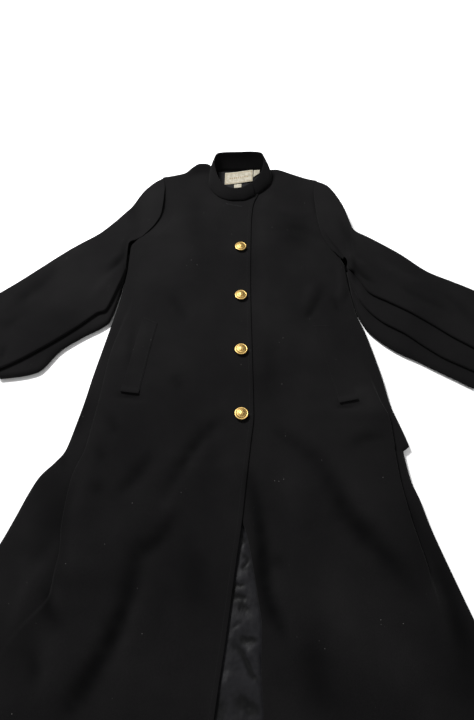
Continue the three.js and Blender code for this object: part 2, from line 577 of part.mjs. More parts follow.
// What is left of a piece once the column of space over an outline is taken away, as one closed body.
function trimmed(geometry, outline) {
  const columnHeight = 300;
  const shape = new THREE.Shape(outline);
  const column = new THREE.ExtrudeGeometry(shape, { depth: columnHeight, bevelEnabled: false });
  column.translate(0, 0, -columnHeight / 2);
  column.deleteAttribute('normal');
  column.deleteAttribute('uv');
  const cut = asSolid(geometry).subtract(asSolid(mergeVertices(column))).simplify(FINEST_EDGE);
  const bodies = cut.decompose().sort((a, b) => b.volume() - a.volume());
  const mesh = bodies[0].getMesh();
  const kept = new THREE.BufferGeometry();
  kept.setAttribute('position', new THREE.BufferAttribute(new Float32Array(mesh.vertProperties), 3));
  kept.setIndex([...mesh.triVerts]);
  return kept;
}

// The hole of the neck in plan: the neck seam round both sides and the front, and clear past the nape.
function neckOutline() {
  const overlapped = 3;
  const napeLine = NAPE_Y - 3;
  const clear = { aside: 80, y: 600 };
  const seam = COLLAR.slice(overlapped).map((row) => new THREE.Vector2(row.x, row.y));
  const nape = seam.findIndex((point) => point.y > napeLine);
  const pastNape = seam.findLastIndex((point) => point.y > napeLine);
  const behind = [1, -1].map((side) => new THREE.Vector2(NECK_MIDDLE + side * clear.aside, clear.y));
  return [...seam.slice(0, nape), ...behind, ...seam.slice(pastNape + 1)];
}

// The body of the coat in plan on one side, with room for the rounded side: a sleeve is cut back to it.
function bodyOutline(rows) {
  const toward = Math.sign(rows[0].x);
  const lowest = 10;
  const pastShoulder = 40;
  const inner = toward * 90;
  const kept = rows.filter((row) => row.y > lowest);
  const border = kept.map((row) => {
    const room = row.backSeam > FLOOR_MIDDLE ? CLOTH / 2 + 2 * SEAM_GAP : 2 * SEAM_GAP;
    return new THREE.Vector2(row.x + toward * room, row.y);
  });
  const shoulder = border[border.length - 1];
  const top = shoulder.y + pastShoulder;
  border.push(new THREE.Vector2(shoulder.x, top));
  return [new THREE.Vector2(inner, border[0].y), ...border, new THREE.Vector2(inner, top)];
}

// One button on its shank, turned about its own axis with its seat at zero.
function buttonGeometry() {
  const shankRadius = 3.5;
  const rim = 1.4;
  const domeSteps = 4;
  const around = 20;
  const dome = Array.from({ length: domeSteps + 1 }, (_, k) => {
    const angle = (k / domeSteps) * (Math.PI / 2);
    return new THREE.Vector2(
      (BUTTON_RADIUS - rim) * Math.cos(angle),
      BUTTON_SHANK + rim + (BUTTON_HEIGHT - rim) * Math.sin(angle),
    );
  });
  dome[dome.length - 1].x = 0;
  const profile = [
    new THREE.Vector2(0, 0),
    new THREE.Vector2(shankRadius, 0),
    new THREE.Vector2(shankRadius, BUTTON_SHANK),
    new THREE.Vector2(BUTTON_RADIUS - rim, BUTTON_SHANK),
    new THREE.Vector2(BUTTON_RADIUS, BUTTON_SHANK + rim * 0.5),
    new THREE.Vector2(BUTTON_RADIUS, BUTTON_SHANK + rim),
    ...dome,
  ];
  return new THREE.LatheGeometry(profile, around).rotateX(Math.PI / 2);
}

const wool = new THREE.MeshStandardMaterial({ color: 0x17161a, roughness: 0.95, metalness: 0 });
const satin = new THREE.MeshStandardMaterial({ color: 0x0d0d10, roughness: 0.35, metalness: 0 });
const ribbon = new THREE.MeshStandardMaterial({ color: 0xe6dfcf, roughness: 0.7, metalness: 0 });
const gold = new THREE.MeshStandardMaterial({ color: 0xc59a45, roughness: 0.35, metalness: 1 });

const coat = new THREE.Group();
coat.name = 'coat';

function add(name, geometry, material) {
  const mesh = new THREE.Mesh(geometry, material);
  mesh.name = name;
  coat.add(mesh);
  return mesh;
}

// The fronts and the back.
const frontRight = frontGrid(STATIONS_RIGHT, TOP_EDGE, 0);
const frontLeft = frontGrid(STATIONS_LEFT, UNDER_EDGE, FRONT_LAP);
add('front_right', trimmed(wall(frontRight, CLOTH), neckOutline()), wool);
add('front_left', trimmed(wall(frontLeft, CLOTH), neckOutline()), wool);
const back = backGrid();
add('back', wall(back, CLOTH), wool);

// The sleeves, cut back to the armhole seams.
const underarmOf = (side) => side[side.length - 1];
const sleeves = [
  { name: 'sleeve_right', table: SLEEVE_RIGHT, armhole: ARMHOLE_RIGHT, shoulder: SHOULDER_POINT_RIGHT,
    underarm: underarmOf(SIDE_RIGHT), body: STATIONS_RIGHT, flats: [7, 2] },
  { name: 'sleeve_left', table: SLEEVE_LEFT, armhole: ARMHOLE_LEFT, shoulder: SHOULDER_POINT_LEFT,
    underarm: underarmOf(SIDE_LEFT), body: STATIONS_LEFT, flats: [6, 1, 2] },
];
for (const sleeve of sleeves) {
  const rows = sleeveRows(sleeve.table, sleeve.armhole, sleeve.shoulder, sleeve.underarm);
  const outline = bodyOutline(sleeve.body);
  add(`${sleeve.name}_upper`, trimmed(wall(sleeveUpperGrid(rows, sleeve.flats), CLOTH), outline), wool);
  add(`${sleeve.name}_under`, trimmed(wall(sleeveUnderGrid(rows), CLOTH), outline), wool);
}

// The collar band.
add('collar', wall(collarGrid(), COLLAR_CLOTH), wool);

// The pocket welts, laid on the fronts.
const weltLift = (CLOTH + WELT_CLOTH) / 2 + 1.3 * SEAM_GAP;
const weltOn = (grid) => (x, y) => heightOn(grid, x, y) + weltLift;
add('welt_right', laidPiece(WELT_RIGHT, 3, 8, WELT_CLOTH, weltOn(frontRight)), wool);
add('welt_left', laidPiece(WELT_LEFT, 3, 8, WELT_CLOTH, weltOn(frontLeft)), wool);

// The lining, where it shows at the nape and between the open front edges.
const liningLift = (CLOTH + LINING_CLOTH) / 2 + SEAM_GAP;
const NECK_LINING = [{ x: -40, y: 452 }, { x: -46, y: 525 }, { x: 58, y: 525 }, { x: 54, y: 452 }];
const nearBack = (x, y) => Math.max(...[-5, 0, 5].map((aside) => heightOn(back, x + aside, y)));
const overBack = (x, y) => nearBack(x, y) + liningLift;
add('lining_neck', laidPiece(NECK_LINING, 10, 8, LINING_CLOTH, overBack), satin);
const SKIRT_LINING = [{ x: -82, y: -686 }, { x: -22, y: -296 }, { x: 34, y: -296 }, { x: 82, y: -686 }];
const crumple = (x, y) => {
  const wave = Math.sin(x / 9 + 1.3 * Math.sin(y / 31)) * Math.sin(y / 23 + 0.8 * Math.sin(x / 17));
  return CRUMPLE_HEIGHT * (0.5 + 0.5 * wave);
};
const crumpled = (x, y) => FLOOR_MIDDLE + liningLift + crumple(x, y);
add('lining_skirt', laidPiece(SKIRT_LINING, 10, 20, LINING_CLOTH, crumpled), satin);

// The label and its two tabs, sewn to the lining below the nape.
const labelLift = liningLift + (LINING_CLOTH + LABEL_CLOTH) / 2 + SEAM_GAP;
const onNape = (x, y) => nearBack(x, y) + labelLift;
const LABEL = [{ x: -30, y: 494 }, { x: -29, y: 520 }, { x: 39, y: 524 }, { x: 38, y: 499 }];
const LABEL_TAB = [{ x: -7, y: 476 }, { x: -7, y: 494 }, { x: 11, y: 495 }, { x: 11, y: 477 }];
const SIDE_TAB = [{ x: 40, y: 508 }, { x: 41, y: 523 }, { x: 56, y: 524 }, { x: 55, y: 517 }];
add('label', laidPiece(LABEL, 6, 4, LABEL_CLOTH, onNape), ribbon);
add('label_tab', laidPiece(LABEL_TAB, 3, 3, LABEL_CLOTH, onNape), ribbon);
add('label_side_tab', laidPiece(SIDE_TAB, 2, 2, LABEL_CLOTH, onNape), ribbon);

// The buttons, each seated on the right front.
BUTTONS_Y.forEach((y, index) => {
  const button = add(`button_${index + 1}`, buttonGeometry(), gold);
  button.position.set(BUTTON_X, y, heightOn(frontRight, BUTTON_X, y) + CLOTH / 2 + BUTTON_SEAT_GAP);
});

// The reference point is the middle of the floor that the coat covers.
const size = new THREE.Box3().setFromObject(coat);
const middle = size.getCenter(new THREE.Vector3());
coat.position.set(-middle.x, -middle.y, -size.min.z);

export default coat;
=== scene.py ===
"""A long black wool coat with a stand collar, laid flat on its back on a white floor."""

import math
from bisect import bisect_right

import bmesh
import bpy
import numpy as np
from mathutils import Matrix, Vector, noise
from mathutils.bvhtree import BVHTree


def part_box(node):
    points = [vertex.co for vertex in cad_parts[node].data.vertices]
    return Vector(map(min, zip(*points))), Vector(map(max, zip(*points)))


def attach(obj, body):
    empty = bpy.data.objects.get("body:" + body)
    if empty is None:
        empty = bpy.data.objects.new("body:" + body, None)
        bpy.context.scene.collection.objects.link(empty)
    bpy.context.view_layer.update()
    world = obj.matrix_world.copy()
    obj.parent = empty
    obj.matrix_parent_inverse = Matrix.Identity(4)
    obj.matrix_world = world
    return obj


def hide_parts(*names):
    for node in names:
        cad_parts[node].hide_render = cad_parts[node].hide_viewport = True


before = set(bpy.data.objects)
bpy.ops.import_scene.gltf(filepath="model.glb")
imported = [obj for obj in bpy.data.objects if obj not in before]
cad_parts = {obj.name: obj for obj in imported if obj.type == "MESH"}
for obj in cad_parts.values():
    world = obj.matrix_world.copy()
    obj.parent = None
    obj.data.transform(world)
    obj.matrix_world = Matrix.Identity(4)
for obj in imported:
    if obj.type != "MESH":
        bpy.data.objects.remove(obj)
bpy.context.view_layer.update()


# The right front: the top layer, cut from thick felted wool, from its buttoned edge to the side seam.
# It is a wall of even thickness on a grid of points, with the side pleat laid in it as an S-fold.
# Sizes are in millimetres in the coat's own drawing and come into the frame by the place of the first button.
MM = 0.001
BUTTON_X = 8
BUTTONS_Y = [276, 139, 5, -133]
button_low, button_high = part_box("button_1")
SHIFT_X = (button_low.x + button_high.x) / 2 - BUTTON_X * MM
SHIFT_Y = (button_low.y + button_high.y) / 2 - BUTTONS_Y[0] * MM

CLOTH = 2.6
TURN_LENGTH = math.pi * 1.9
FOLD_LEAST = 0.7
TURN_LEAST = 4
SEAM_GAP = 0.4
SEAM_HEIGHT = 7.1
SIDE_ROUND = 9
ARMHOLE_HEIGHT = 24
ARMHOLE_EDGE = 34
ARMHOLE_RISE = 60
SHOULDER_ROUND = 13
SHOULDER_SEAM_HEIGHT = 18
SHOULDER_NECK_HEIGHT = 30
NAPE_HEIGHT = 34.7
BUTTON_STAND = 66
LAP_MARGIN = 10
LAP_FADE = 26
FRONT_CROWN = 5
HEM_DROP = 52
HEM_DROP_REACH = 500
FLOOR_MIDDLE = CLOTH / 2
NECK_END = (32, 528)
NECK_MIDDLE = 8
NECK_CENTRE_Y = 490
NAPE_Y = 529
NAPE_HALF = 60
NAPE_HALF_END = 74
RIDGE_NEAR = 70
RIDGE_FAR = 180
RIDGE_LIFT_SHARE = 0.4
ROUNDED_SHARES = [0.45, 0.12, 0]
CELL = 6.5


def lerp(a, b, t):
    return a + (b - a) * t


def clamp01(value):
    return min(max(value, 0.0), 1.0)


def smoothstep(value, low, high):
    t = clamp01((value - low) / (high - low))
    return t * t * (3 - 2 * t)


def curve(points):
    """A smooth function through points (place, value) that never overshoots them."""
    points = sorted(points)
    places = [place for place, _ in points]
    values = [value for _, value in points]
    last = len(points) - 1
    slopes = [(values[k + 1] - values[k]) / (places[k + 1] - places[k]) for k in range(last)]
    tangents = [slopes[0]]
    for before, after in zip(slopes, slopes[1:]):
        tangents.append(0 if before * after <= 0 else 2 * before * after / (before + after))
    tangents.append(slopes[-1])

    def at(place):
        if place <= places[0]:
            return values[0]
        if place >= places[-1]:
            return values[-1]
        k = bisect_right(places, place) - 1
        span = places[k + 1] - places[k]
        t = (place - places[k]) / span
        rise = t * t * (3 - 2 * t)
        bends = t * (1 - t) * span * ((1 - t) * tangents[k] - t * tangents[k + 1])
        return values[k] * (1 - rise) + values[k + 1] * rise + bends

    return at


class Rows:
    """Rows of named values, read smoothly between the rows as well."""

    def __init__(self, names, rows):
        self.names = names
        self.rows = rows
        self.curves = {}
        for column, name in enumerate(names):
            self.curves[name] = curve([(k, row[column]) for k, row in enumerate(rows)])

    def get(self, name, place):
        return self.curves[name](place)

    def places(self, cell):
        """Places along the rows that are about one cell apart, with each row kept."""
        x, y = self.names.index("x"), self.names.index("y")
        found = []
        for k, (row, after) in enumerate(zip(self.rows, self.rows[1:])):
            steps = max(1, round(math.hypot(after[x] - row[x], after[y] - row[y]) / cell))
            found += [k + step / steps for step in range(steps)]
        return found + [len(self.rows) - 1]


TOP_EDGE = curve([
    (-708, -46), (-593, -32), (-489, -16), (-382, -1), (-322, 8), (-258, 15), (-185, 24), (-130, 30),
    (140, 28), (349, 32), (402, 36), (423, 40), (450, 50), (530, 60),
])
EDGE_HEIGHT = curve([
    (-708, 10), (-593, 10.5), (-450, 12), (-320, 15), (-250, 18.5), (-133, 23), (11, 25.5), (139, 26.5),
    (276, 27.5), (400, 28.1), (530, 28.1),
])
# Down each side seam: height on the drawing, seam, pleat edge, turn in degrees, depth and layer height.
SIDE_RIGHT = [
    (-655, -532, -420, 4, 0, 12), (-560, -486, -376, 4, 0, 12), (-470, -439, -330, 12, 0, 12),
    (-410, -408, -284, 70, 0, 12), (-358, -382, -280, 180, 8, 12), (-314, -366, -285, 180, 20, 12),
    (-275, -353, -284, 180, 27, 12), (-245, -340, -281, 180, 28, 12), (-220, -319, -274, 180, 22, 12),
    (-197, -304, -266, 180, 16, 12), (-140, -292, -259, 180, 13, 12), (-95, -284, -254, 180, 10, 12),
    (-40, -276, -250, 180, 6, 12.5), (20, -266, -243, 110, 0, 13), (80, -256, -230, 40, 0, 14),
    (150, -245, -216, 6, 0, 15), (220, -240, -210, 4, 0, 17), (290, -240, -208, 4, 0, 20),
]
SIDE_LEFT = [
    (-655, 410, 330, 4, 0, 12), (-560, 383, 316, 4, 0, 12), (-469, 356, 308, 12, 0, 12),
    (-400, 336, 300, 70, 0, 12), (-350, 322, 291, 160, 0, 12), (-326, 316, 287, 180, 6, 12),
    (-286, 308, 281, 180, 10, 12), (-249, 298, 277, 180, 12, 12), (-197, 294, 276, 180, 12, 12),
    (-188, 306, 277, 180, 11, 12), (-150, 297, 277, 180, 8, 12), (-104, 285, 266, 90, 0, 12),
    (-52, 279, 254, 30, 0, 13), (3, 270, 243, 6, 0, 14), (59, 259, 230, 4, 0, 15),
    (105, 247, 218, 4, 0, 16), (165, 240, 211, 4, 0, 18), (238, 236, 206, 4, 0, 20),
]
ARMHOLE_RIGHT = [(304, -226), (320, -211), (350, -190), (386, -178), (430, -176), (470, -176), (495, -179)]
ARMHOLE_LEFT = [(256, 222), (280, 208), (320, 194), (375, 187), (430, 186), (465, 187), (488, 191)]
SHOULDER_POINT_RIGHT = (-182, 521)
SHOULDER_POINT_LEFT = (195, 509)
# The shoulder line behind the collar: how far it bows out, and how much it stands up.
SHOULDER_BOW_RIGHT = curve([
    (-182, 0), (-150, 6), (-128, 10), (-108, 22), (-92, 28), (-76, 27), (-56, 16), (0, 3), (60, 0),
])
SHOULDER_LIFT_RIGHT = curve([
    (-182, 0), (-150, 0), (-128, 1), (-108, 10), (-92, 15), (-76, 14), (-56, 6), (0, 0), (60, 0),
])
SHOULDER_BOW_LEFT = curve([(-20, 0), (40, 8), (80, 15), (100, 19), (131, 13), (157, 7), (180, 2), (195, 0)])
SHOULDER_LIFT_LEFT = curve([(-20, 0), (40, 0), (80, 2), (100, 3), (131, 1), (157, 0), (180, 0), (195, 0)])
SIDE_COUNT = len(SIDE_RIGHT)


def stations(side, armhole, shoulder):
    """The rows of one half of the coat, from the hem up to the shoulder line."""
    hem_y = side[0][0]
    under_y, under_x, _, _, _, under_outer = side[-1]
    toward = math.copysign(1, under_x)
    rows = []
    for y, x, edge, turn, depth, outer in side:
        start_y = y - HEM_DROP * (1 - clamp01((y - hem_y) / HEM_DROP_REACH))
        rows.append((x, y, edge, turn, depth, outer, SEAM_HEIGHT, SEAM_HEIGHT - SEAM_GAP, 0, start_y))
    rounded = [(shoulder[1] - share * SHOULDER_ROUND, shoulder[0]) for share in ROUNDED_SHARES]
    above = armhole + rounded
    for k, (y, x) in enumerate(above):
        opening = smoothstep(k, -1, 1)
        bow = smoothstep(y, under_y + ARMHOLE_RISE, shoulder[1] - SHOULDER_ROUND)
        start_y = lerp(under_y, NECK_END[1], (y - under_y) / (shoulder[1] - under_y))
        if k >= len(armhole):
            bow = 1
            start_y = NECK_END[1] - (shoulder[1] - y)
        rows.append((
            x, y, x - toward * ARMHOLE_EDGE, TURN_LEAST, 0, lerp(under_outer, ARMHOLE_HEIGHT, opening),
            lerp(SEAM_HEIGHT, ARMHOLE_HEIGHT * 2, opening),
            lerp(SEAM_HEIGHT - SEAM_GAP, FLOOR_MIDDLE, opening), bow, start_y,
        ))
    names = ["x", "y", "edge", "turn", "depth", "outer", "seam", "back_seam", "bow", "start_y"]
    return Rows(names, rows)


STATIONS_RIGHT = stations(SIDE_RIGHT, ARMHOLE_RIGHT, SHOULDER_POINT_RIGHT)
STATIONS_LEFT = stations(SIDE_LEFT, ARMHOLE_LEFT, SHOULDER_POINT_LEFT)


def line_from_neck(point, x):
    return lerp(NECK_END[1], point[1], (x - NECK_END[0]) / (point[0] - NECK_END[0]))


def nape_share(x):
    return 1 - smoothstep(abs(x - NECK_MIDDLE), NAPE_HALF, NAPE_HALF_END)


def top_edge(x):
    """The line of both shoulder seams and of the nape between them."""
    if x < 0:
        shoulder = line_from_neck(SHOULDER_POINT_RIGHT, x) + SHOULDER_BOW_RIGHT(x)
    else:
        shoulder = line_from_neck(SHOULDER_POINT_LEFT, x) + SHOULDER_BOW_LEFT(x)
    return lerp(NAPE_Y, shoulder, 1 - nape_share(x))


def shoulder_lift(x):
    return SHOULDER_LIFT_RIGHT(x) if x < 0 else SHOULDER_LIFT_LEFT(x)


def shoulder_seam(x):
    """How high the shoulder seam lies: low at the sleeve, up with the ridge beside the collar."""
    to_neck = 1 - smoothstep(abs(x - NECK_MIDDLE), RIDGE_NEAR, RIDGE_FAR)
    return lerp(SHOULDER_SEAM_HEIGHT, SHOULDER_NECK_HEIGHT, to_neck) + RIDGE_LIFT_SHARE * shoulder_lift(x)


def shoulder_rise(below):
    return math.sqrt(clamp01(1 - (1 - clamp01(below / SHOULDER_ROUND)) ** 2))


def hem_share(k, x):
    """How far a place has come down to the lowest line of a section, hung in an arc between its seams."""
    right = STATIONS_RIGHT.get("x", k)
    t = (x - right) / (STATIONS_LEFT.get("x", k) - right)
    return 1 - (1 - 2 * t) ** 4


def cross_section(width, folds, first_round, last_round, flats, round_steps=5, turn_steps=7):
    """The laid path across a panel as (distance, drop below the top layer, rise). Rise is 0 at an edge."""
    path = []
    quarter = math.pi / 2
    for k in range(round_steps if first_round > 0 else 0):
        angle = k / round_steps * quarter
        path.append((first_round * (1 - math.cos(angle)), 0, math.sin(angle)))
    s, drop = first_round, 0
    for (at, degrees, depth), flat in zip(folds, flats):
        turn = math.radians(degrees)
        radius = TURN_LENGTH / turn
        start = at - radius * math.sin(min(turn, quarter))
        under = FOLD_LEAST + depth
        path += [(lerp(s, start, k / flat), drop, 1) for k in range(flat)]
        for k in range(turn_steps + 1):
            angle = turn * k / turn_steps
            path.append((start + radius * math.sin(angle), drop + radius * (1 - math.cos(angle)), 1))
        s = start + radius * math.sin(turn) + under * math.cos(turn)
        drop += radius * (1 - math.cos(turn)) + under * math.sin(turn)
        for k in range(turn_steps):
            angle = turn * (1 - k / turn_steps)
            aside = radius * (math.sin(turn) - math.sin(angle))
            path.append((s + aside, drop + radius * (math.cos(angle) - math.cos(turn)), 1))
        s += radius * math.sin(turn)
        drop += radius * (1 - math.cos(turn))
    end, count = width - last_round, flats[len(folds)]
    path += [(lerp(s, end, k / count), drop, 1) for k in range(count + 1)]
    for k in range(round_steps - 1 if last_round > 0 else -1, -1, -1):
        angle = k / round_steps * quarter
        path.append((width - last_round * (1 - math.cos(angle)), drop, math.sin(angle)))
    return path


# Soft creases of the fronts: a bent line, half width and height, with troughs below zero.
FRONT_SEED = 4.0
FRONT_CREASES = [
    ([(-29, -137), (-62, -178), (-88, -219), (-122, -278)], 13, -5.0),
    ([(-43, -166), (-71, -216), (-93, -259)], 15, 2.6),
    ([(-103, -312), (-127, -353), (-155, -373)], 12, -4.6),
    ([(-102, -275), (-114, -309), (-124, -338)], 12, 2.2),
    ([(-160, -372), (-164, -428), (-178, -476), (-200, -525), (-221, -564), (-239, -590)], 17, -8.0),
    ([(-136, -399), (-146, -451), (-164, -507), (-186, -559)], 20, 3.2),
    ([(-179, -443), (-197, -489), (-219, -532)], 14, 2.4),
    ([(-148, -208), (-172, -248), (-200, -281)], 13, -4.4),
    ([(-232, -135), (-213, -172)], 12, -3.0),
    ([(-244, -195), (-230, -223)], 11, -2.4),
    ([(-236, -258), (-229, -284)], 11, -2.4),
    ([(-263, -237), (-263, -322), (-253, -400)], 14, 3.0),
    ([(22, -247), (33, -295), (40, -362), (43, -410), (50, -446), (65, -476), (75, -497)], 12, -6.5),
    ([(55, -399), (65, -437), (82, -476), (91, -510)], 15, 3.2),
    ([(60, -377), (73, -401)], 12, -2.6),
    ([(137, -218), (161, -263), (182, -312), (217, -357), (242, -391), (262, -423)], 18, -5.2),
    ([(63, -158), (100, -189), (137, -219)], 14, -3.0),
    ([(91, -229), (98, -298), (100, -367)], 22, 2.8),
    ([(200, -195), (229, -178), (263, -174)], 12, -3.2),
    ([(184, -251), (216, -309), (253, -362)], 16, 2.4),
    ([(140, 391), (136, 326), (121, 264)], 40, -3.4),
    ([(179, 160), (151, 102), (140, 87)], 9, -4.4),
    ([(163, 174), (136, 115)], 10, 2.4),
    ([(204, 144), (206, 102)], 8, -3.0),
    ([(238, 220), (239, 175), (221, 126)], 8, -3.4),
    ([(225, 237), (222, 175), (208, 132)], 8, 2.2),
    ([(188, 450), (188, 382)], 7, -2.6),
    ([(-179, 482), (-169, 382)], 8, -2.4),
    ([(-206, 71), (-206, 13), (-202, -42)], 10, -2.4),
    ([(-181, 61), (-184, 8)], 12, 1.6),
    ([(-138, 144), (-121, 110), (-103, 74)], 12, -2.0),
    ([(-125, -55), (-100, -83)], 12, -2.0),
    ([(-21, -182), (-12, -237), (-15, -298)], 20, 2.2),
    ([(50, 56), (63, -38), (53, -123)], 20, -1.8),
    ([(-89, 464), (-95, 375), (-82, 286)], 26, -2.6),
    ([(213, -97), (244, -85), (250, -122)], 12, 2.0),
    ([(146, -384), (155, -456), (171, -522)], 26, 2.6),
    ([(110, -497), (115, -547), (128, -590)], 20, -3.2),
    ([(211, -464), (232, -522), (260, -576)], 24, 2.8),
    ([(-83, -443), (-88, -510), (-98, -578)], 26, 2.4),
    ([(-261, -486), (-270, -537), (-272, -585)], 16, 2.6),
    ([(-59, -366), (-63, -420), (-70, -473)], 20, -2.2),
    ([(-300, -234), (-295, -336), (-310, -392)], 34, -3.6),
    ([(-316, -442), (-317, -509), (-314, -571)], 34, -2.5),
    ([(294, -286), (306, -398), (316, -496)], 34, -3.4),
    ([(334, -442), (331, -522), (323, -583)], 34, -3.4),
    ([(-295, -177), (-291, -134), (-282, -96)], 20, -3.5),
    ([(-289, -422), (-286, -449), (-257, -488)], 10, -4.0),
    ([(-273, -428), (-264, -459)], 8, 2.4),
    ([(-302, -509), (-284, -542), (-278, -559)], 12, -3.0),
    ([(-347, -383), (-322, -413), (-322, -456)], 14, 2.6),
    ([(-316, -178), (-299, -234)], 8, -2.0),
    ([(-286, -352), (-303, -398), (-328, -456), (-337, -496)], 12, 3.0),
    ([(282, -278), (291, -320), (297, -346)], 8, -2.0),
    ([(322, -383), (328, -442), (334, -509)], 16, -2.8),
    ([(298, -383), (307, -456), (311, -522)], 14, 2.4),
    ([(-176, -99), (-199, -96), (-223, -93)], 5, -3.6),
    ([(181, -119), (204, -116), (229, -111)], 5, -3.6),
]


# The cloth's own low swell, and how a crease tapers to its ends and wanders in depth and width.
SWELL = 1.3
SWELL_ACROSS = 95
SWELL_ALONG = 120
CREASE_STEPS = 14
WANDER_RATE = 3.1
WANDER_APART = 7.3
DEPTH_WANDER = 0.28
WIDTH_WANDER = 0.3
WIDTH_SHARE = 1.05
TAPER_POWER = 0.6


def relief(places, creases, seed):
    """Heights at plan places: tapered, uneven creases and a low swell of the cloth itself."""
    places = np.asarray(places, float)
    swells = [SWELL * noise.noise((x / SWELL_ACROSS, y / SWELL_ALONG, seed)) for x, y in places]
    total = np.array(swells)
    for number, (points, half, height) in enumerate(creases):
        to_x = curve([(k, x) for k, (x, _) in enumerate(points)])
        to_y = curve([(k, y) for k, (_, y) in enumerate(points)])
        shares = np.linspace(0, 1, CREASE_STEPS * len(points))
        last = len(points) - 1
        line = np.array([(to_x(share * last), to_y(share * last)) for share in shares])
        row = number * WANDER_APART
        uneven = np.array([noise.noise((share * WANDER_RATE * last, row, seed)) for share in shares])
        gaps = places[:, None, :] - line[None, :, :]
        away = (gaps ** 2).sum(2)
        nearest = away.argmin(1)
        taper = np.sin(np.pi * (0.04 + 0.92 * shares)) ** TAPER_POWER * (1 + DEPTH_WANDER * uneven)
        widths = half * (WIDTH_SHARE + WIDTH_WANDER * np.roll(uneven, 5))
        total += height * taper[nearest] * np.exp(-away.min(1) / widths[nearest] ** 2)
    return total


def creased(grid, creases, seed, lift):
    """A grid of (x, y, z, rise) with its creases added, each height first passed through lift."""
    places = [(x, y) for points in grid for x, y, _, _ in points]
    heights = iter(relief(places, creases, seed))
    return [[[x, y, z + lift(x, y, rise, next(heights))] for x, y, z, rise in points] for points in grid]


# Places, as (from, to), over which something fades along the fronts or away from a line on them.
LIFT_FADE = (4, 24)
CROWN_FADE = (330, 420)
LAP_GROWS = (-560, -340)
SHOULDER_QUIET = (6, 70)
BUTTON_QUIET = (14, 60)
BUTTON_QUIET_SHARE = 0.35
BUTTON_QUIET_LOW = -180


def front_lift(x, y, rise, height):
    """Creases fade out at the shoulder and the side seam, and are low near the buttons."""
    quiet = smoothstep(top_edge(x) - y, *SHOULDER_QUIET) * rise
    if y > BUTTON_QUIET_LOW:
        quiet *= lerp(BUTTON_QUIET_SHARE, 1, smoothstep(abs(x - BUTTON_X), *BUTTON_QUIET))
    return height * quiet


def front_grid(rows, edge, lap, flats):
    """One front as a grid of points, a row for each place from the hem to the shoulder."""
    last = len(rows.rows) - 1
    shoulder = (rows.rows[last][0], rows.rows[last][1])
    grid = []
    for k in rows.places(CELL):
        row = {name: rows.get(name, k) for name in rows.names}
        start_x, start_y = edge(row["start_y"]), row["start_y"]
        width = math.hypot(row["x"] - start_x, row["y"] - start_y)
        along = (row["x"] - start_x) / width
        at = (row["edge"] - start_x) / along
        path = cross_section(width, [(at, row["turn"], row["depth"])], 0, SIDE_ROUND, flats)
        side_top = row["outer"] + path[-1][1]
        above = clamp01(k - (SIDE_COUNT - 1))
        points = []
        for s, drop, rise in path:
            x = start_x + s * along
            share = lerp(hem_share(k, x), 1 - s / width, above)
            y = lerp(row["y"], start_y, share) + row["bow"] * (top_edge(x) - line_from_neck(shoulder, x))
            past_top = x - TOP_EDGE(y)
            stand = max(BUTTON_STAND, s - past_top + LAP_MARGIN) if lap > 0 else BUTTON_STAND
            from_stand = clamp01((s - stand) / (width - stand))
            below = top_edge(x) - y
            lift = row["bow"] * shoulder_lift(x) * (1 - smoothstep(below, *LIFT_FADE))
            crown = FRONT_CROWN * math.sin(math.pi * from_stand) * (1 - smoothstep(y, *CROWN_FADE))
            top = lerp(EDGE_HEIGHT(y), side_top, smoothstep(s, stand, at)) + crown + lift
            under_top = 1 - smoothstep(past_top, LAP_MARGIN, LAP_MARGIN + LAP_FADE)
            lapped = lap * under_top * smoothstep(y, *LAP_GROWS)
            flat = top - drop - lapped
            seam = min(row["seam"], flat)
            rounded = seam + (flat - seam) * rise
            ridge = min(shoulder_seam(x), rounded)
            points.append([x, y, ridge + (rounded - ridge) * shoulder_rise(below), rise])
        grid.append(points)
    return creased(grid, FRONT_CREASES, FRONT_SEED, front_lift)


def inside(outline, x, y):
    """True if the place lies inside the outline."""
    found = False
    for (ax, ay), (bx, by) in zip(outline, outline[1:] + outline[:1]):
        if (ay > y) != (by > y) and x < (bx - ax) * (y - ay) / (by - ay) + ax:
            found = not found
    return found


def cut_away(bm, outline):
    """Takes away what lies over an outline in plan and draws the mesh's new border onto that outline."""
    within = {v for v in bm.verts if inside(outline, v.co.x, v.co.y)}
    gone = [v for v in within if all(other in within for face in v.link_faces for other in face.verts)]
    moves = {}
    for v in within - set(gone):
        near = {other for face in v.link_faces for other in face.verts} - within
        nearest = min(near, key=lambda other: (other.co - v.co).length)
        low, high = nearest.co.copy(), v.co.copy()
        for _ in range(12):
            middle = (low + high) / 2
            if inside(outline, middle.x, middle.y):
                high = middle
            else:
                low = middle
        moves[v] = low
    for v, place in moves.items():
        v.co = place
    bmesh.ops.delete(bm, geom=gone, context="VERTS")
    buried = [face for face in bm.faces if all(v in moves for v in face.verts)]
    bmesh.ops.delete(bm, geom=buried, context="FACES")


def in_frame(bm):
    """Brings a mesh drawn in millimetres into the frame."""
    for v in bm.verts:
        v.co = Vector((v.co.x * MM + SHIFT_X, v.co.y * MM + SHIFT_Y, v.co.z * MM))


def shown(name, bm, material, node):
    """Makes the finished object of a mesh in the frame, riding on the coat."""
    mesh = bpy.data.meshes.new(name)
    bm.to_mesh(mesh)
    bm.free()
    for polygon in mesh.polygons:
        polygon.use_smooth = True
    mesh.materials.append(material)
    piece = bpy.data.objects.new(name, mesh)
    bpy.context.collection.objects.link(piece)
    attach(piece, "root")
    if node:
        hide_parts(node)
    return piece


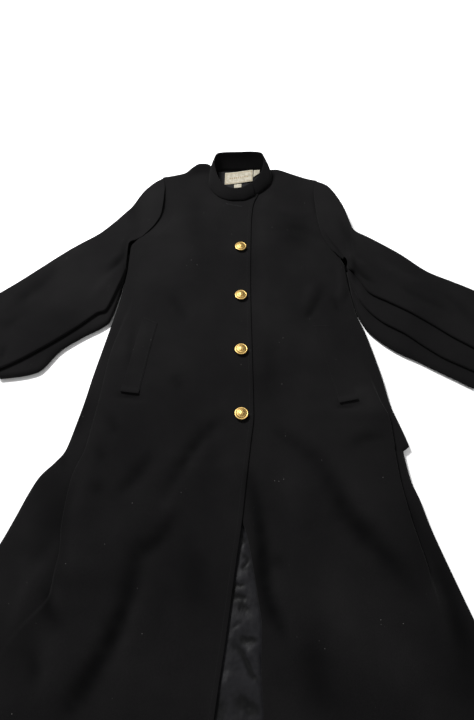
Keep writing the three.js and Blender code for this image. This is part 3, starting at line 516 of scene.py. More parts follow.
def cloth(name, grid, thickness, material, node, outline=None, edge=0.8, creases=None):
    """A piece of cloth on a grid of points through its middle, with its edges rounded a little.

    The depth of its creases is kept on it as "hollow", for the shade painted into its colour in the creases.
    """
    bm = bmesh.new()
    bmesh.ops.create_grid(bm, x_segments=len(grid[0]) - 1, y_segments=len(grid) - 1, size=0.5)
    bm.verts.ensure_lookup_table()
    uv = bm.loops.layers.uv.new("flat")
    flat = {}
    up = 0
    for i, points in enumerate(grid):
        across = 0
        if i:
            up += sum(math.dist(a, b) for a, b in zip(points, grid[i - 1])) / len(points)
        for j, point in enumerate(points):
            if j:
                across += math.dist(point, points[j - 1])
            v = bm.verts[i * len(points) + j]
            v.co = point
            flat[v] = (across * MM, up * MM)
    for face in bm.faces:
        for loop in face.loops:
            loop[uv].uv = flat[loop.vert]
    if creases:
        hollow = bm.verts.layers.float.new("hollow")
        depths = relief([(v.co.x, v.co.y) for v in bm.verts], *creases)
        for v, depth in zip(bm.verts, depths):
            v[hollow] = depth
    if outline:
        cut_away(bm, outline)
    in_frame(bm)
    bmesh.ops.recalc_face_normals(bm, faces=bm.faces)
    piece = shown(name, bm, material, node)
    wall = piece.modifiers.new("wall", "SOLIDIFY")
    wall.thickness = thickness * MM
    wall.offset = 0
    wall.use_even_offset = False
    soft = piece.modifiers.new("soft edge", "BEVEL")
    soft.width = edge * MM
    soft.segments = 2
    soft.limit_method = "ANGLE"
    soft.angle_limit = math.radians(60)
    return piece


class Wire:
    """An output socket of a material, with arithmetic that adds Math nodes."""

    def __init__(self, shader, socket):
        self.shader = shader
        self.socket = socket

    def math(self, operation, *others, clamp=False):
        inputs = dict(enumerate((self,) + others))
        return self.shader.node("ShaderNodeMath", {"operation": operation, "use_clamp": clamp}, inputs)

    def __add__(self, other):
        return self.math("ADD", other)

    def __sub__(self, other):
        return self.math("SUBTRACT", other)

    def __mul__(self, other):
        return self.math("MULTIPLY", other)

    def __truediv__(self, other):
        return self.math("DIVIDE", other)

    def __rsub__(self, other):
        return (self * -1.0).math("ADD", other)

    __radd__ = __add__
    __rmul__ = __mul__

    def steps(self, low, high):
        """0 below low and 1 above high, smooth between."""
        settings = {"interpolation_type": "SMOOTHSTEP"}
        inputs = {"Value": self, "From Min": low, "From Max": high}
        return self.shader.node("ShaderNodeMapRange", settings, inputs)


class Shader:
    """A material whose nodes are added one by one. Constants go onto the sockets of its surface."""

    def __init__(self, name, **constants):
        self.material = bpy.data.materials.new(name)
        self.material.use_nodes = True
        self.tree = self.material.node_tree
        self.surface = self.tree.nodes["Principled BSDF"]
        self.surfaced(**constants)

    def surfaced(self, **inputs):
        """Feeds the sockets of the surface, named with underscores, and gives the material."""
        for socket, value in inputs.items():
            self.feed(self.surface.inputs[socket.replace("_", " ").title().replace("Ior", "IOR")], value)
        return self.material

    def node(self, kind, settings, inputs, output=0):
        made = self.tree.nodes.new(kind)
        for key, value in settings.items():
            setattr(made, key, value)
        for key, value in inputs.items():
            self.feed(made.inputs[key], value)
        return Wire(self, made.outputs[output])

    def feed(self, socket, value):
        if isinstance(value, Wire):
            self.tree.links.new(value.socket, socket)
        else:
            socket.default_value = value

    def stored(self, name):
        """A number that is kept on the vertices under a name."""
        return self.node("ShaderNodeAttribute", {"attribute_name": name}, {}, "Fac")

    def place(self, source="Object", stretch=(1, 1, 1)):
        coordinates = self.node("ShaderNodeTexCoord", {}, {}, source)
        return self.node("ShaderNodeVectorMath", {"operation": "MULTIPLY"}, {0: coordinates, 1: stretch})

    def noise(self, place, scale, detail=3.0, roughness=0.55):
        inputs = {"Vector": place, "Scale": scale, "Detail": detail, "Roughness": roughness}
        return self.node("ShaderNodeTexNoise", {}, inputs)

    def mix(self, factor, first, second):
        inputs = {0: factor, 6: first, 7: second}
        return self.node("ShaderNodeMix", {"data_type": "RGBA"}, inputs, 2)

    def bump(self, height, depth, strength=1.0, under=None):
        inputs = {"Height": height, "Distance": depth, "Strength": strength}
        if under:
            inputs["Normal"] = under
        return self.node("ShaderNodeBump", {}, inputs)


def felted_wool():
    """Near-black wool with a short brushed nap, with shade painted darker into its creases, and a few specks
    of lint.
    """
    shader = Shader("felted wool", roughness=0.92, sheen_weight=0.02, sheen_roughness=0.5,
                    specular_ior_level=0.03)
    place = shader.place()
    patches = shader.noise(place, 7.0, 3.0)
    nap = shader.noise(place, 620.0, 4.0, 0.65)
    brushed = shader.noise(shader.place(stretch=(1.0, 0.28, 1.0)), 950.0, 3.0, 0.6)
    tone = (patches * 0.55 + nap * 0.45).steps(0.25, 0.75)
    cloth_colour = shader.mix(tone, (0.0033, 0.0031, 0.0034, 1), (0.0078, 0.0075, 0.0077, 1))
    cells = {"Vector": place, "Scale": 95.0, "Randomness": 1.0}
    near = shader.node("ShaderNodeTexVoronoi", {"feature": "F1"}, cells, "Distance")
    linty = shader.noise(place, 31.0, 1.0).steps(0.61, 0.67)
    speck = (1.0 - near.steps(0.035, 0.075)) * linty
    # Painted shade: the cloth's colour is mixed towards near-black where its creases are deep, standing in
    # for the shade in them.
    pressed_height_and_painted_shade = shader.stored("hollow").steps(-8.0, 3.5)
    cloth_colour = shader.mix(pressed_height_and_painted_shade, (0.0011, 0.0011, 0.0012, 1), cloth_colour)
    colour = shader.mix(speck, cloth_colour, (0.085, 0.082, 0.08, 1))
    height = nap * 0.55 + brushed * 0.45 + speck * 0.4
    rough = 0.86 + nap * 0.12
    return shader.surfaced(base_color=colour, roughness=rough, normal=shader.bump(height, 0.0006, 0.55))


wool = felted_wool()


# The neck's hole is drawn in a little under the collar, and runs out past the nape behind it.
NECK_SEAM_TUCK = 0.035
NAPE_CLEAR = 5
BEHIND_HALF = 80
BEHIND_Y = 600


def neck_outline(seam):
    """The hole of the neck in plan: the neck seam at the sides and in front, and clear past the nape."""
    seam = [(lerp(x, NECK_MIDDLE, NECK_SEAM_TUCK), lerp(y, NECK_CENTRE_Y, NECK_SEAM_TUCK)) for x, y in seam]
    nape_line = NAPE_Y - NAPE_CLEAR
    first = next(k for k, point in enumerate(seam) if point[1] > nape_line)
    last = max(k for k, point in enumerate(seam) if point[1] > nape_line)
    behind = [(NECK_MIDDLE + BEHIND_HALF, BEHIND_Y), (NECK_MIDDLE - BEHIND_HALF, BEHIND_Y)]
    return seam[:first] + behind + seam[last + 1:]


# The neck seam and the collar's rim, from the collar's under end round the nape to its top end.
COLLAR_NAMES = ["x", "y", "z", "rim_x", "rim_y", "rim_z"]
COLLAR = Rows(COLLAR_NAMES, [
    (-14, 431, 28, -12, 452, 43.5), (14, 432, 28, 10, 454, 43.5), (38, 444, 28.6, 28, 464, 44.5),
    (60, 462, 31.3, 44, 479, 49), (80, 488, 33, 59, 502, 56), (83, 511, 35, 65, 528, 65),
    (68, 527, 35.6, 57, 545, 74), (38, 530.5, 35.6, 33, 548, 75), (8, 530.5, 35.6, 6, 548, 74),
    (-24, 530.5, 35.6, -21, 548, 73.5), (-50, 526.5, 35.6, -45, 545, 73), (-66, 509, 34.5, -55, 526, 64),
    (-67, 486, 32.4, -50, 499, 55), (-55, 457, 31.6, -40, 474, 50), (-36, 436, 31.8, -27, 458, 47.5),
    (-10, 427, 32.2, -8, 450, 47.5), (14, 428, 32.4, 10, 452, 47.8), (41, 443, 33, 33, 466, 49),
])
NECK_HOLE = neck_outline([(COLLAR.get("x", k / 4), COLLAR.get("y", k / 4)) for k in range(12, 69)])

right_grid = front_grid(STATIONS_RIGHT, TOP_EDGE, 0, [58, 14])
front_right = cloth("front_right_cloth", right_grid, CLOTH, wool, "front_right", outline=NECK_HOLE,
                    creases=(FRONT_CREASES, FRONT_SEED))


# The left front: the same wool, its edge hidden under the right front down to the open skirt.
# It lies a cloth's thickness lower along the overlap and has a shallower pleat at its side.
UNDER_EDGE = curve([
    (-708, 41), (-590, 37), (-528, 35), (-480, 37), (-437, 32), (-386, 24), (-344, 16), (-319, 8),
    (-230, -12), (-133, -22), (530, -20),
])
LAP_DROP = CLOTH + 0.5
left_grid = front_grid(STATIONS_LEFT, UNDER_EDGE, LAP_DROP, [50, 10])
front_left = cloth("front_left_cloth", left_grid, CLOTH, wool, "front_left", outline=NECK_HOLE,
                   creases=(FRONT_CREASES, FRONT_SEED))


# The back: one panel of the same wool, flat on the floor and rounded up to the seams at its sides.
# It rises in a slope to the nape, where the collar band is set onto it.
BACK_SEED = 9.0
BACK_CELL = 2 * CELL
BACK_QUIET = (80, 140)
BACK_QUIET_RISE = (0.9, 1)
BACK_CREASE_LEAST = 0.2
NAPE_SLOPE = 76
NAPE_STEEP = 1.5
BACK_CREASES = [
    ([(-180, 250), (-120, 100), (-90, -60)], 22, 2.0),
    ([(170, 240), (120, 60), (100, -120)], 22, 1.8),
    ([(-60, -120), (-90, -320), (-140, -520)], 26, 2.4),
    ([(60, -60), (110, -280), (150, -520)], 26, 2.4),
    ([(-220, -260), (-290, -420), (-360, -560)], 22, 2.0),
    ([(220, -240), (250, -400), (300, -560)], 22, 1.8),
]


def back_height(x, y):
    below = top_edge(x) - y
    nape = nape_share(x)
    edge = lerp(shoulder_seam(x), NAPE_HEIGHT, nape) - 2.5 * SEAM_GAP
    slope = clamp01(1 - below / NAPE_SLOPE) ** NAPE_STEEP
    return FLOOR_MIDDLE + (edge - FLOOR_MIDDLE) * lerp(1 - shoulder_rise(below), slope, nape)


def back_lift(x, y, rise, height):
    """Only ridges that lift the back off the floor, clear of the nape and the side seams."""
    quiet = smoothstep(top_edge(x) - y, *BACK_QUIET) * smoothstep(rise, *BACK_QUIET_RISE)
    return max(height - BACK_CREASE_LEAST, 0) * quiet


def back_grid():
    """The back as a grid, each row from a station on the right side to the same one on the left."""
    grid = []
    for k in STATIONS_RIGHT.places(BACK_CELL):
        right = {name: STATIONS_RIGHT.get(name, k) for name in STATIONS_RIGHT.names}
        left = {name: STATIONS_LEFT.get(name, k) for name in STATIONS_LEFT.names}
        width = math.hypot(left["x"] - right["x"], left["y"] - right["y"])
        hem = (right["start_y"] - right["y"]) * (1 - clamp01(k - (SIDE_COUNT - 1)))
        bow = (right["bow"] + left["bow"]) / 2
        points = []
        for s, _, rise in cross_section(width, [], SIDE_ROUND, SIDE_ROUND, [60]):
            t = s / width
            x = lerp(right["x"], left["x"], t)
            shoulders = lerp(SHOULDER_POINT_RIGHT[1], SHOULDER_POINT_LEFT[1], t)
            y = lerp(right["y"], left["y"], t) + hem * hem_share(k, x) + bow * (top_edge(x) - shoulders)
            seam = (right if t < 0.5 else left)["back_seam"]
            side = seam - (seam - FLOOR_MIDDLE) * rise
            points.append([x, y, max(side, back_height(x, y)), rise])
        grid.append(points)
    return creased(grid, BACK_CREASES, BACK_SEED, back_lift)


back_points = back_grid()
back = cloth("back_cloth", back_points, CLOTH, wool, "back", creases=(BACK_CREASES, BACK_SEED))


# The sleeves: an upper and an under side each, in the same wool, sewn to the body at the armhole.
# They lie flat, open at the cuff, with one long fold laid in the right sleeve and two in the left one.
SLEEVE_ROUND = 12
SLEEVE_CROWN = 6
SLEEVE_UNDER_CELL = 1.6 * CELL
ARMHOLE_INWARD = 7
ARMHOLE_TUCK = 2.5
UNDERARM_CLEAR = CLOTH / 2 + 0.6
SLEEVES_ABOVE_Y = 10
BODY_HALF = 90
BODY_TOP_CLEAR = 40
SLEEVE_COLUMNS = ["x", "y", "low_x", "low_y", "follow", "outer"]
FIRST_FOLD = ["at_1", "turn_1", "depth_1"]
SECOND_FOLD = ["at_2", "turn_2", "depth_2"]
SLEEVE_RIGHT = Rows(SLEEVE_COLUMNS + FIRST_FOLD, [
    (-183, 521, -243, 291, 1, 24, 203, 4, 0), (-203, 508, -248.5, 262, 0.7, 21, 219, 4, 0),
    (-225, 482, -247, 224, 0.35, 16, 232, 20, 0), (-244, 434, -249, 176, 0.1, 13, 234, 90, 0),
    (-270, 390, -254, 132, 0, 12, 229, 150, 0), (-316, 332, -264, 88, 0, 12, 223, 180, 8),
    (-370, 288, -278, 74, 0, 12, 204, 180, 18), (-430, 230, -314, 50, 0, 12, 194, 180, 18),
    (-478, 182, -352, 18, 0, 12, 187, 180, 18), (-520, 145, -386, -31, 0, 12, 185, 180, 18),
    (-546, 122, -419, -41, 0, 12, 180, 180, 18), (-568, 102, -456, -46, 0, 12, 172, 180, 12),
])
SLEEVE_LEFT = Rows(SLEEVE_COLUMNS + FIRST_FOLD + SECOND_FOLD, [
    (196, 509, 240, 238, 1, 24, 158, 4, 0, 218, 4, 0),
    (222, 492, 246.5, 205, 0.6, 21, 212, 40, 0, 250, 4, 0),
    (246, 432, 246, 164, 0.2, 15, 208, 110, 0, 242, 40, 0),
    (264, 342, 250, 116, 0, 12, 144, 180, 8, 192, 150, 0),
    (300, 314, 264, 72, 0, 12, 166, 180, 14, 206, 180, 10),
    (358, 267, 285, 44, 0, 12, 150, 180, 14, 198, 180, 12),
    (412, 215, 320, 14, 0, 12, 133, 180, 14, 181, 180, 12),
    (458, 188, 358, -8, 0, 12, 140, 180, 14, 190, 180, 12),
    (502, 161, 392, -30, 0, 12, 147, 180, 14, 195, 180, 12),
    (542, 135, 424, -50, 0, 12, 149, 180, 14, 193, 180, 10),
    (578, 110, 452, -68, 0, 12, 150, 180, 12, 190, 180, 8),
])
RIGHT_SLEEVE_CREASES = [
    ([(-244, 297), (-252, 251), (-275, 208)], 8, -4.6),
    ([(-228, 315), (-249, 266), (-277, 237)], 9, 2.4),
    ([(-257, 219), (-281, 174), (-302, 142)], 11, 2.2),
    ([(-261, 464), (-246, 409), (-236, 356)], 12, -2.6),
    ([(-386, 238), (-414, 176), (-451, 133)], 16, -2.2),
    ([(-427, 113), (-452, 77), (-471, 57)], 14, -2.0),
    ([(-320, 328), (-355, 266), (-404, 219)], 16, 1.8),
    ([(-456, 14), (-457, -14)], 7, -3.0),
    ([(-420, 190), (-450, 130), (-470, 90)], 16, -2.2),
]
LEFT_SLEEVE_CREASES = [
    ([(236, 358), (245, 313), (254, 270)], 12, -3.0),
    ([(250, 237), (263, 196), (286, 174)], 7, -4.0),
    ([(237, 254), (254, 231), (278, 213)], 8, 2.4),
    ([(248, 219), (252, 180)], 5, -3.0),
    ([(303, 237), (340, 196), (386, 169)], 13, 2.2),
    ([(340, 161), (380, 129), (435, 93)], 10, -2.0),
    ([(398, 233), (435, 198), (477, 176)], 14, -2.2),
    ([(332, 315), (363, 284), (402, 254)], 14, 1.8),
    ([(420, 150), (450, 110), (480, 60)], 14, -2.2),
]


def sleeve_place(rows, armhole, shoulder, underarm):
    """A function from a place along a sleeve and a share across it to a place in plan."""
    seam = curve([(y, x) for x, y in [underarm, shoulder]] + armhole)
    inward = math.copysign(ARMHOLE_INWARD, shoulder[0])

    def place(k, t):
        armhole_y = lerp(shoulder[1], underarm[1], t)
        bend = seam(armhole_y) - lerp(shoulder[0], underarm[0], t) - inward
        x = lerp(rows.get("x", k), rows.get("low_x", k), t) + rows.get("follow", k) * bend
        return x, lerp(rows.get("y", k), rows.get("low_y", k), t)

    return place


def sleeve_upper_grid(rows, place, flats, creases, seed):
    """The upper side of a sleeve, with the folds that it is laid in."""
    grid = []
    for k in rows.places(CELL):
        row = {name: rows.get(name, k) for name in rows.names}
        width = math.hypot(row["low_x"] - row["x"], row["low_y"] - row["y"])
        ridge = lerp(SEAM_HEIGHT, SHOULDER_SEAM_HEIGHT, row["follow"])
        folds = [(row["at_1"], row["turn_1"], row["depth_1"])]
        if "at_2" in row:
            folds.append((row["at_2"], row["turn_2"], row["depth_2"]))
        path = cross_section(width, folds, SLEEVE_ROUND, SIDE_ROUND, flats)
        points = []
        for s, drop, rise in path:
            x, y = place(k, s / width)
            crown = SLEEVE_CROWN * math.sin(math.pi * clamp01(s / width))
            top = row["outer"] + path[-1][1] - drop + crown
            seam = ridge if s < width / 2 else SEAM_HEIGHT
            points.append([x, y, seam + (top - seam) * rise, rise])
        grid.append(points)
    return creased(grid, creases, seed, lambda x, y, rise, height: height * smoothstep(rise, 0.2, 1))


def sleeve_under_grid(rows, place):
    """The under side of a sleeve, flat on the floor and rounded up at both edges."""
    grid = []
    for k in rows.places(SLEEVE_UNDER_CELL):
        ridge = lerp(SEAM_HEIGHT, SHOULDER_SEAM_HEIGHT, rows.get("follow", k))
        width = math.hypot(rows.get("low_x", k) - rows.get("x", k), rows.get("low_y", k) - rows.get("y", k))
        points = []
        for s, _, rise in cross_section(width, [], SIDE_ROUND, SIDE_ROUND, [18]):
            x, y = place(k, s / width)
            seam = (ridge if s < width / 2 else SEAM_HEIGHT) - SEAM_GAP
            points.append([x, y, seam - (seam - FLOOR_MIDDLE) * rise])
        grid.append(points)
    return grid


def body_outline(rows):
    """The body of the coat in plan on one side; a sleeve is cut back to it."""
    toward = math.copysign(1, rows.rows[0][0])
    border = []
    last = len(rows.rows) - 1
    for k in [place / 3 for place in range(3 * last + 1)]:
        x, y = rows.get("x", k), rows.get("y", k)
        if y > SLEEVES_ABOVE_Y:
            at_side = rows.get("back_seam", k) > FLOOR_MIDDLE + 0.5
            border.append((x + toward * (UNDERARM_CLEAR if at_side else -ARMHOLE_TUCK), y))
    top = border[-1][1] + BODY_TOP_CLEAR
    inner = toward * BODY_HALF
    return [(inner, border[0][1])] + border + [(border[-1][0], top), (inner, top)]


def sleeve(side, rows, armhole, shoulder, underarm, body, flats, creases, seed):
    """Both sides of one sleeve."""
    place = sleeve_place(rows, armhole, shoulder, underarm)
    outline = body_outline(body)
    upper_name, under_name = f"sleeve_{side}_upper", f"sleeve_{side}_under"
    upper_grid = sleeve_upper_grid(rows, place, flats, creases, seed)
    upper = cloth(f"{upper_name}_cloth", upper_grid, CLOTH, wool, upper_name, outline=outline,
                  creases=(creases, seed))
    under_grid = sleeve_under_grid(rows, place)
    under = cloth(f"{under_name}_cloth", under_grid, CLOTH, wool, under_name, outline=outline)
    return upper, under


sleeve_right_upper, sleeve_right_under = sleeve(
    "right", SLEEVE_RIGHT, ARMHOLE_RIGHT, SHOULDER_POINT_RIGHT, (-240, 290), STATIONS_RIGHT,
    [30, 8], RIGHT_SLEEVE_CREASES, 14.0,
)
sleeve_left_upper, sleeve_left_under = sleeve(
    "left", SLEEVE_LEFT, ARMHOLE_LEFT, SHOULDER_POINT_LEFT, (236, 238), STATIONS_LEFT,
    [24, 6, 6], LEFT_SLEEVE_CREASES, 19.0,
)


# The collar: a straight band of doubled, interfaced wool that stands round the neck.
# Its ends lap at the front, and a row of stitches runs below its rim.
COLLAR_CLOTH = 3
COLLAR_BULGE = 2.5
NAPE_TUCK = 7
NAPE_TUCK_FROM = (504, 522)
SEAM_EDGE_DROP = 0.4
BULGE_RISE = 0.3
COLLAR_END = 17
COLLAR_FINE = 8


def collar_point(k, up, outward=0.0):
    """A point in the middle of the band, up being 0 at the neck seam and 1 at the rim."""
    bulge = COLLAR_BULGE * math.sin(math.pi * up)
    x = lerp(COLLAR.get("x", k), COLLAR.get("rim_x", k), up)
    y = lerp(COLLAR.get("y", k), COLLAR.get("rim_y", k), up)
    out = Vector((x - NECK_MIDDLE, y - NECK_CENTRE_Y)).normalized() * (bulge + outward)
    z = lerp(COLLAR.get("z", k), COLLAR.get("rim_z", k), up) + BULGE_RISE * bulge
    return [x + out.x, y + out.y, z]


def seam_point(k):
    """A point of the band's sewn edge, tucked down behind the back's edge at the nape."""
    x, y, z = collar_point(k, 0)
    return [x, y, z - SEAM_EDGE_DROP - NAPE_TUCK * smoothstep(y, *NAPE_TUCK_FROM)]


collar_places = [k / COLLAR_FINE for k in range(COLLAR_FINE * COLLAR_END + 1)]
collar_shares = [up / COLLAR_FINE for up in range(COLLAR_FINE + 1)]
collar_grid = [[seam_point(k)] + [collar_point(k, up) for up in collar_shares] for k in collar_places]
collar = cloth("collar_cloth", collar_grid, COLLAR_CLOTH, wool, "collar", edge=1.1)


# The pocket welts: slanted strips of the same wool, doubled, laid on the fronts and sewn down at their ends.
# Each is sunk into the nap and stands off it over a dark slit at its lower end.
WELT_CLOTH = 2.2
WELT_SINK = 1.3
WELT_END_LIFT = 3.2
WELT_END = 0.09
WELT_ACROSS = 10
WELT_UP = 60
ABOVE_ALL = 200
WELT_RIGHT = [(-182, -92), (-159, 70), (-190, 88), (-217, -87)]
WELT_LEFT = [(187, -112), (152, 66), (183, 68), (223, -104)]


def tree_of(grid):
    """The surface through a grid, for finding heights on it."""
    columns = len(grid[0])
    points = [Vector(point) for row in grid for point in row]
    faces = []
    for i in range(len(grid) - 1):
        for j in range(columns - 1):
            a = i * columns + j
            faces.append((a, a + 1, a + columns + 1, a + columns))
    return BVHTree.FromPolygons(points, faces)


def height_on(tree, x, y):
    hit, _, _, _ = tree.ray_cast(Vector((x, y, ABOVE_ALL)), Vector((0, 0, -1)))
    return hit.z


def laid_grid(corners, across, up, height):
    """A grid over four corners, from the lower inner one, with a height for each place."""
    grid = []
    for i in range(up + 1):
        v = i / up
        row = []
        for j in range(across + 1):
            u = j / across
            x = lerp(lerp(corners[0][0], corners[3][0], u), lerp(corners[1][0], corners[2][0], u), v)
            y = lerp(lerp(corners[0][1], corners[3][1], u), lerp(corners[1][1], corners[2][1], u), v)
            row.append([x, y, height(x, y)])
        grid.append(row)
    return grid


right_tree = tree_of(right_grid)
left_tree = tree_of(left_grid)
back_tree = tree_of(back_points)
WELT_LIFT = (CLOTH + WELT_CLOTH) / 2 - WELT_SINK
for side, corners, tree in (("right", WELT_RIGHT, right_tree), ("left", WELT_LEFT, left_tree)):
    welt_grid = laid_grid(corners, WELT_ACROSS, WELT_UP, lambda x, y: height_on(tree, x, y) + WELT_LIFT)
    for i, row in enumerate(welt_grid):
        for point in row:
            point[2] += WELT_END_LIFT * (1 - smoothstep(i / WELT_UP, 0, WELT_END))
    welt = cloth(f"welt_{side}_cloth", welt_grid, WELT_CLOTH, wool, f"welt_{side}", edge=0.9)


# The lining: black satin, seen crumpled in the open skirt and smooth below the nape.
# It is cut like the coat inside, and only these two areas of it show.
LINING_CLOTH = 1
LINING_SEED = 27.0
NECK_LINING = [(-40, 452), (-46, 525), (58, 525), (54, 452)]
SKIRT_LINING = [(-82, -686), (-22, -296), (34, -296), (82, -686)]


def lining_satin():
    """Black satin: a smooth shiny weave with fine diagonal ribs and small pressed creases, with shade painted
    darker into the creases.
    """
    shader = Shader("black satin", roughness=0.42, sheen_weight=0.02, specular_ior_level=0.13)
    place = shader.place("UV")
    ribs = {"Vector": place, "Scale": 900.0}
    weave = shader.node("ShaderNodeTexWave", {"bands_direction": "DIAGONAL"}, ribs)
    soft = shader.noise(place, 16.0, 3.0)
    small = shader.noise(place, 160.0, 3.0)
    tone = (soft * 0.7 + small * 0.3).steps(0.3, 0.7)
    colour = shader.mix(tone, (0.003, 0.0029, 0.0036, 1), (0.0075, 0.0073, 0.0088, 1))
    # Painted shade: the satin's colour is mixed towards near-black in the troughs of its creases.
    pressed_height_and_painted_shade = shader.stored("hollow").steps(-1.7, 0.1)
    colour = shader.mix(pressed_height_and_painted_shade, (0.0006, 0.0006, 0.0008, 1), colour)
    wrinkles = shader.bump(soft, 0.0015, 0.5)
    woven = shader.bump(weave, 0.00008, 0.5, wrinkles)
    return shader.surfaced(base_color=colour, roughness=0.4 + small * 0.15, normal=woven)


satin = lining_satin()


# Creases of the crumpled satin in the open skirt, with troughs below zero.
LINING_CREASES = [
    ([(-6, -418), (3, -420), (14, -418)], 4, -2.4),
    ([(-8, -437), (5, -438), (15, -441)], 5, -2.8),
    ([(-5, -419), (-7, -428), (-5, -437)], 5, -1.6),
    ([(2, -450), (9, -452), (17, -458)], 6, -2.8),
    ([(-8, -480), (4, -474)], 3, -1.2),
    ([(4, -491), (16, -497), (34, -495)], 6, -3.0),
    ([(-9, -500), (9, -514), (23, -542), (33, -550)], 5, -2.5),
    ([(0, -566), (14, -578), (33, -586)], 9, -3.0),
    ([(6, -372), (18, -382), (11, -394), (22, -400)], 4, -2.2),
    ([(2, -340), (12, -352), (6, -362)], 4, -1.5),
    ([(-38, -650), (-4, -640), (30, -655)], 12, -2.4),
    ([(-30, -560), (-22, -600), (-34, -640)], 9, -2.0),
    ([(15, -509), (32, -522)], 6, 2.2),
    ([(-21, -559), (-7, -537)], 8, 2.0),
    ([(-10, -402), (8, -408), (22, -404)], 8, 1.8),
    ([(0, -462), (14, -474), (30, -476)], 9, 2.2),
    ([(-30, -610), (-6, -600), (20, -612)], 12, 2.2),
    ([(20, -600), (30, -630), (24, -668)], 8, 1.8),
    ([(-60, -600), (-54, -640), (-64, -676)], 9, 1.6),
    ([(50, -560), (62, -610), (58, -660)], 9, 1.6),
    ([(34, -420), (40, -470), (52, -520)], 8, 1.4),
    ([(-30, -400), (-34, -450), (-44, -510)], 8, 1.4),
]


# The satin lies loose in the opening and is pressed down below both front edges and towards the hem.
LINING_ACROSS = 70
LINING_UP = 170
PRESSED = (-14, 8)
LOOSE_FROM = (-686, -650)
PRESSED_HEIGHT = 4.6
PRESSED_SHARE = 0.35
LOOSE_HEIGHT = 7.0
LOOSE_SHARE = 0.7


def skirt_lining_grid():
    """The lining in the skirt: loose and creased in the opening, pressed down below both front edges."""
    grid = laid_grid(SKIRT_LINING, LINING_ACROSS, LINING_UP, lambda x, y: 0)
    places = [(x, y) for row in grid for x, y, _ in row]
    creases = iter(relief(places, LINING_CREASES, LINING_SEED))
    for row in grid:
        for point in row:
            x, y, _ = point
            fine = 0.5 * noise.noise((x / 13, y / 17, 5.0)) + 0.25 * noise.noise((x / 5, y / 7, 8.0))
            loose = LOOSE_SHARE * next(creases) + fine
            free = 1 - smoothstep(max(TOP_EDGE(y) - x, x - UNDER_EDGE(y)), *PRESSED)
            pressed_height_and_painted_shade = PRESSED_HEIGHT + PRESSED_SHARE * loose
            point[2] = lerp(pressed_height_and_painted_shade, LOOSE_HEIGHT + loose, free * smoothstep(y, *LOOSE_FROM))
    return grid


NAPE_LINING_LIFT = (CLOTH + LINING_CLOTH) / 2 + SEAM_GAP
NEAR = 5


def near_back(x, y):
    """The highest place of the back at or just beside a place."""
    return max(height_on(back_tree, x + aside, y) for aside in (-NEAR, 0, NEAR))


neck_grid = laid_grid(NECK_LINING, 40, 28, lambda x, y: near_back(x, y) + NAPE_LINING_LIFT)
lining_neck = cloth("lining_neck_satin", neck_grid, LINING_CLOTH, satin, "lining_neck", edge=0.3)
lining_skirt = cloth("lining_skirt_satin", skirt_lining_grid(), LINING_CLOTH, satin, "lining_skirt",
                     edge=0.3, creases=(LINING_CREASES, LINING_SEED))


# The label: a cream woven ribbon sewn to the lining below the nape, and its two tabs.
# It has a woven gold border and a strip of small gold diamonds, and stands up a little at its +X end.
LABEL_CLOTH = 1
LABEL = [(-30, 494), (-29, 520), (39, 524), (38, 499)]
LABEL_TAB = [(-7, 476), (-7, 494), (11, 495), (11, 477)]
SIDE_TAB = [(40, 508), (41, 523), (56, 524), (55, 517)]
LABEL_LIFT = NAPE_LINING_LIFT + (LINING_CLOTH + LABEL_CLOTH) / 2 + SEAM_GAP
LABEL_CURL_FROM = (-15, 40)
LABEL_UP = 2.4
LABEL_CURL_UP = 1.6
LABEL_STAND = 1.2
LABEL_CURL_STAND = 2.4


def woven_ribbon(name, width, height, patterned):
    """Cream ribbon with fine ribs; a patterned one has a gold border and a strip of gold diamonds."""
    shader = Shader(name, roughness=0.6, sheen_weight=0.15)
    place = shader.place("UV")
    split = shader.tree.nodes.new("ShaderNodeSeparateXYZ")
    shader.feed(split.inputs[0], place)
    across, up = Wire(shader, split.outputs[0]), Wire(shader, split.outputs[1])
    ribs = shader.node("ShaderNodeTexWave", {"bands_direction": "Y"}, {"Vector": place, "Scale": 500.0})
    worn = shader.noise(place, 160.0, 3.0)
    colour = shader.mix(worn.steps(0.3, 0.75), (0.27, 0.245, 0.18, 1), (0.42, 0.39, 0.31, 1))
    if patterned:
        from_side = across.math("MINIMUM", width - across)
        from_edge = from_side.math("MINIMUM", up.math("MINIMUM", height - up))
        border = from_edge.steps(0.0016, 0.0019) * (1.0 - from_edge.steps(0.0026, 0.0029))
        along = (across / 0.0052).math("FRACT").math("SUBTRACT", 0.5).math("ABSOLUTE")
        aside = ((up - height * 0.5) / 0.0085).math("ABSOLUTE")
        diamonds = 1.0 - (along + aside).steps(0.28, 0.36)
        inner = from_side.steps(0.009, 0.0095)
        gold_thread = (border + diamonds * inner).math("MINIMUM", 1.0)
        colour = shader.mix(gold_thread * 0.85, colour, (0.2, 0.125, 0.04, 1))
    return shader.surfaced(base_color=colour, normal=shader.bump(ribs, 0.00012, 0.5))


label_ribbon = woven_ribbon("label ribbon", 0.068, 0.0285, True)
plain_ribbon = woven_ribbon("plain ribbon", 0.018, 0.019, False)
for name, corners, across, up, ribbon in (
    ("label", LABEL, 34, 14, label_ribbon),
    ("label_tab", LABEL_TAB, 9, 10, plain_ribbon),
    ("label_side_tab", SIDE_TAB, 7, 7, plain_ribbon),
):
    ribbon_grid = laid_grid(corners, across, up, lambda x, y: near_back(x, y) + LABEL_LIFT)
    for row in ribbon_grid:
        for point in row:
            curl = smoothstep(point[0], *LABEL_CURL_FROM)
            point[1] += LABEL_UP + LABEL_CURL_UP * curl
            point[2] += LABEL_STAND + LABEL_CURL_STAND * curl
    piece = cloth(f"{name}_ribbon", ribbon_grid, LABEL_CLOTH, ribbon, name, edge=0.3)


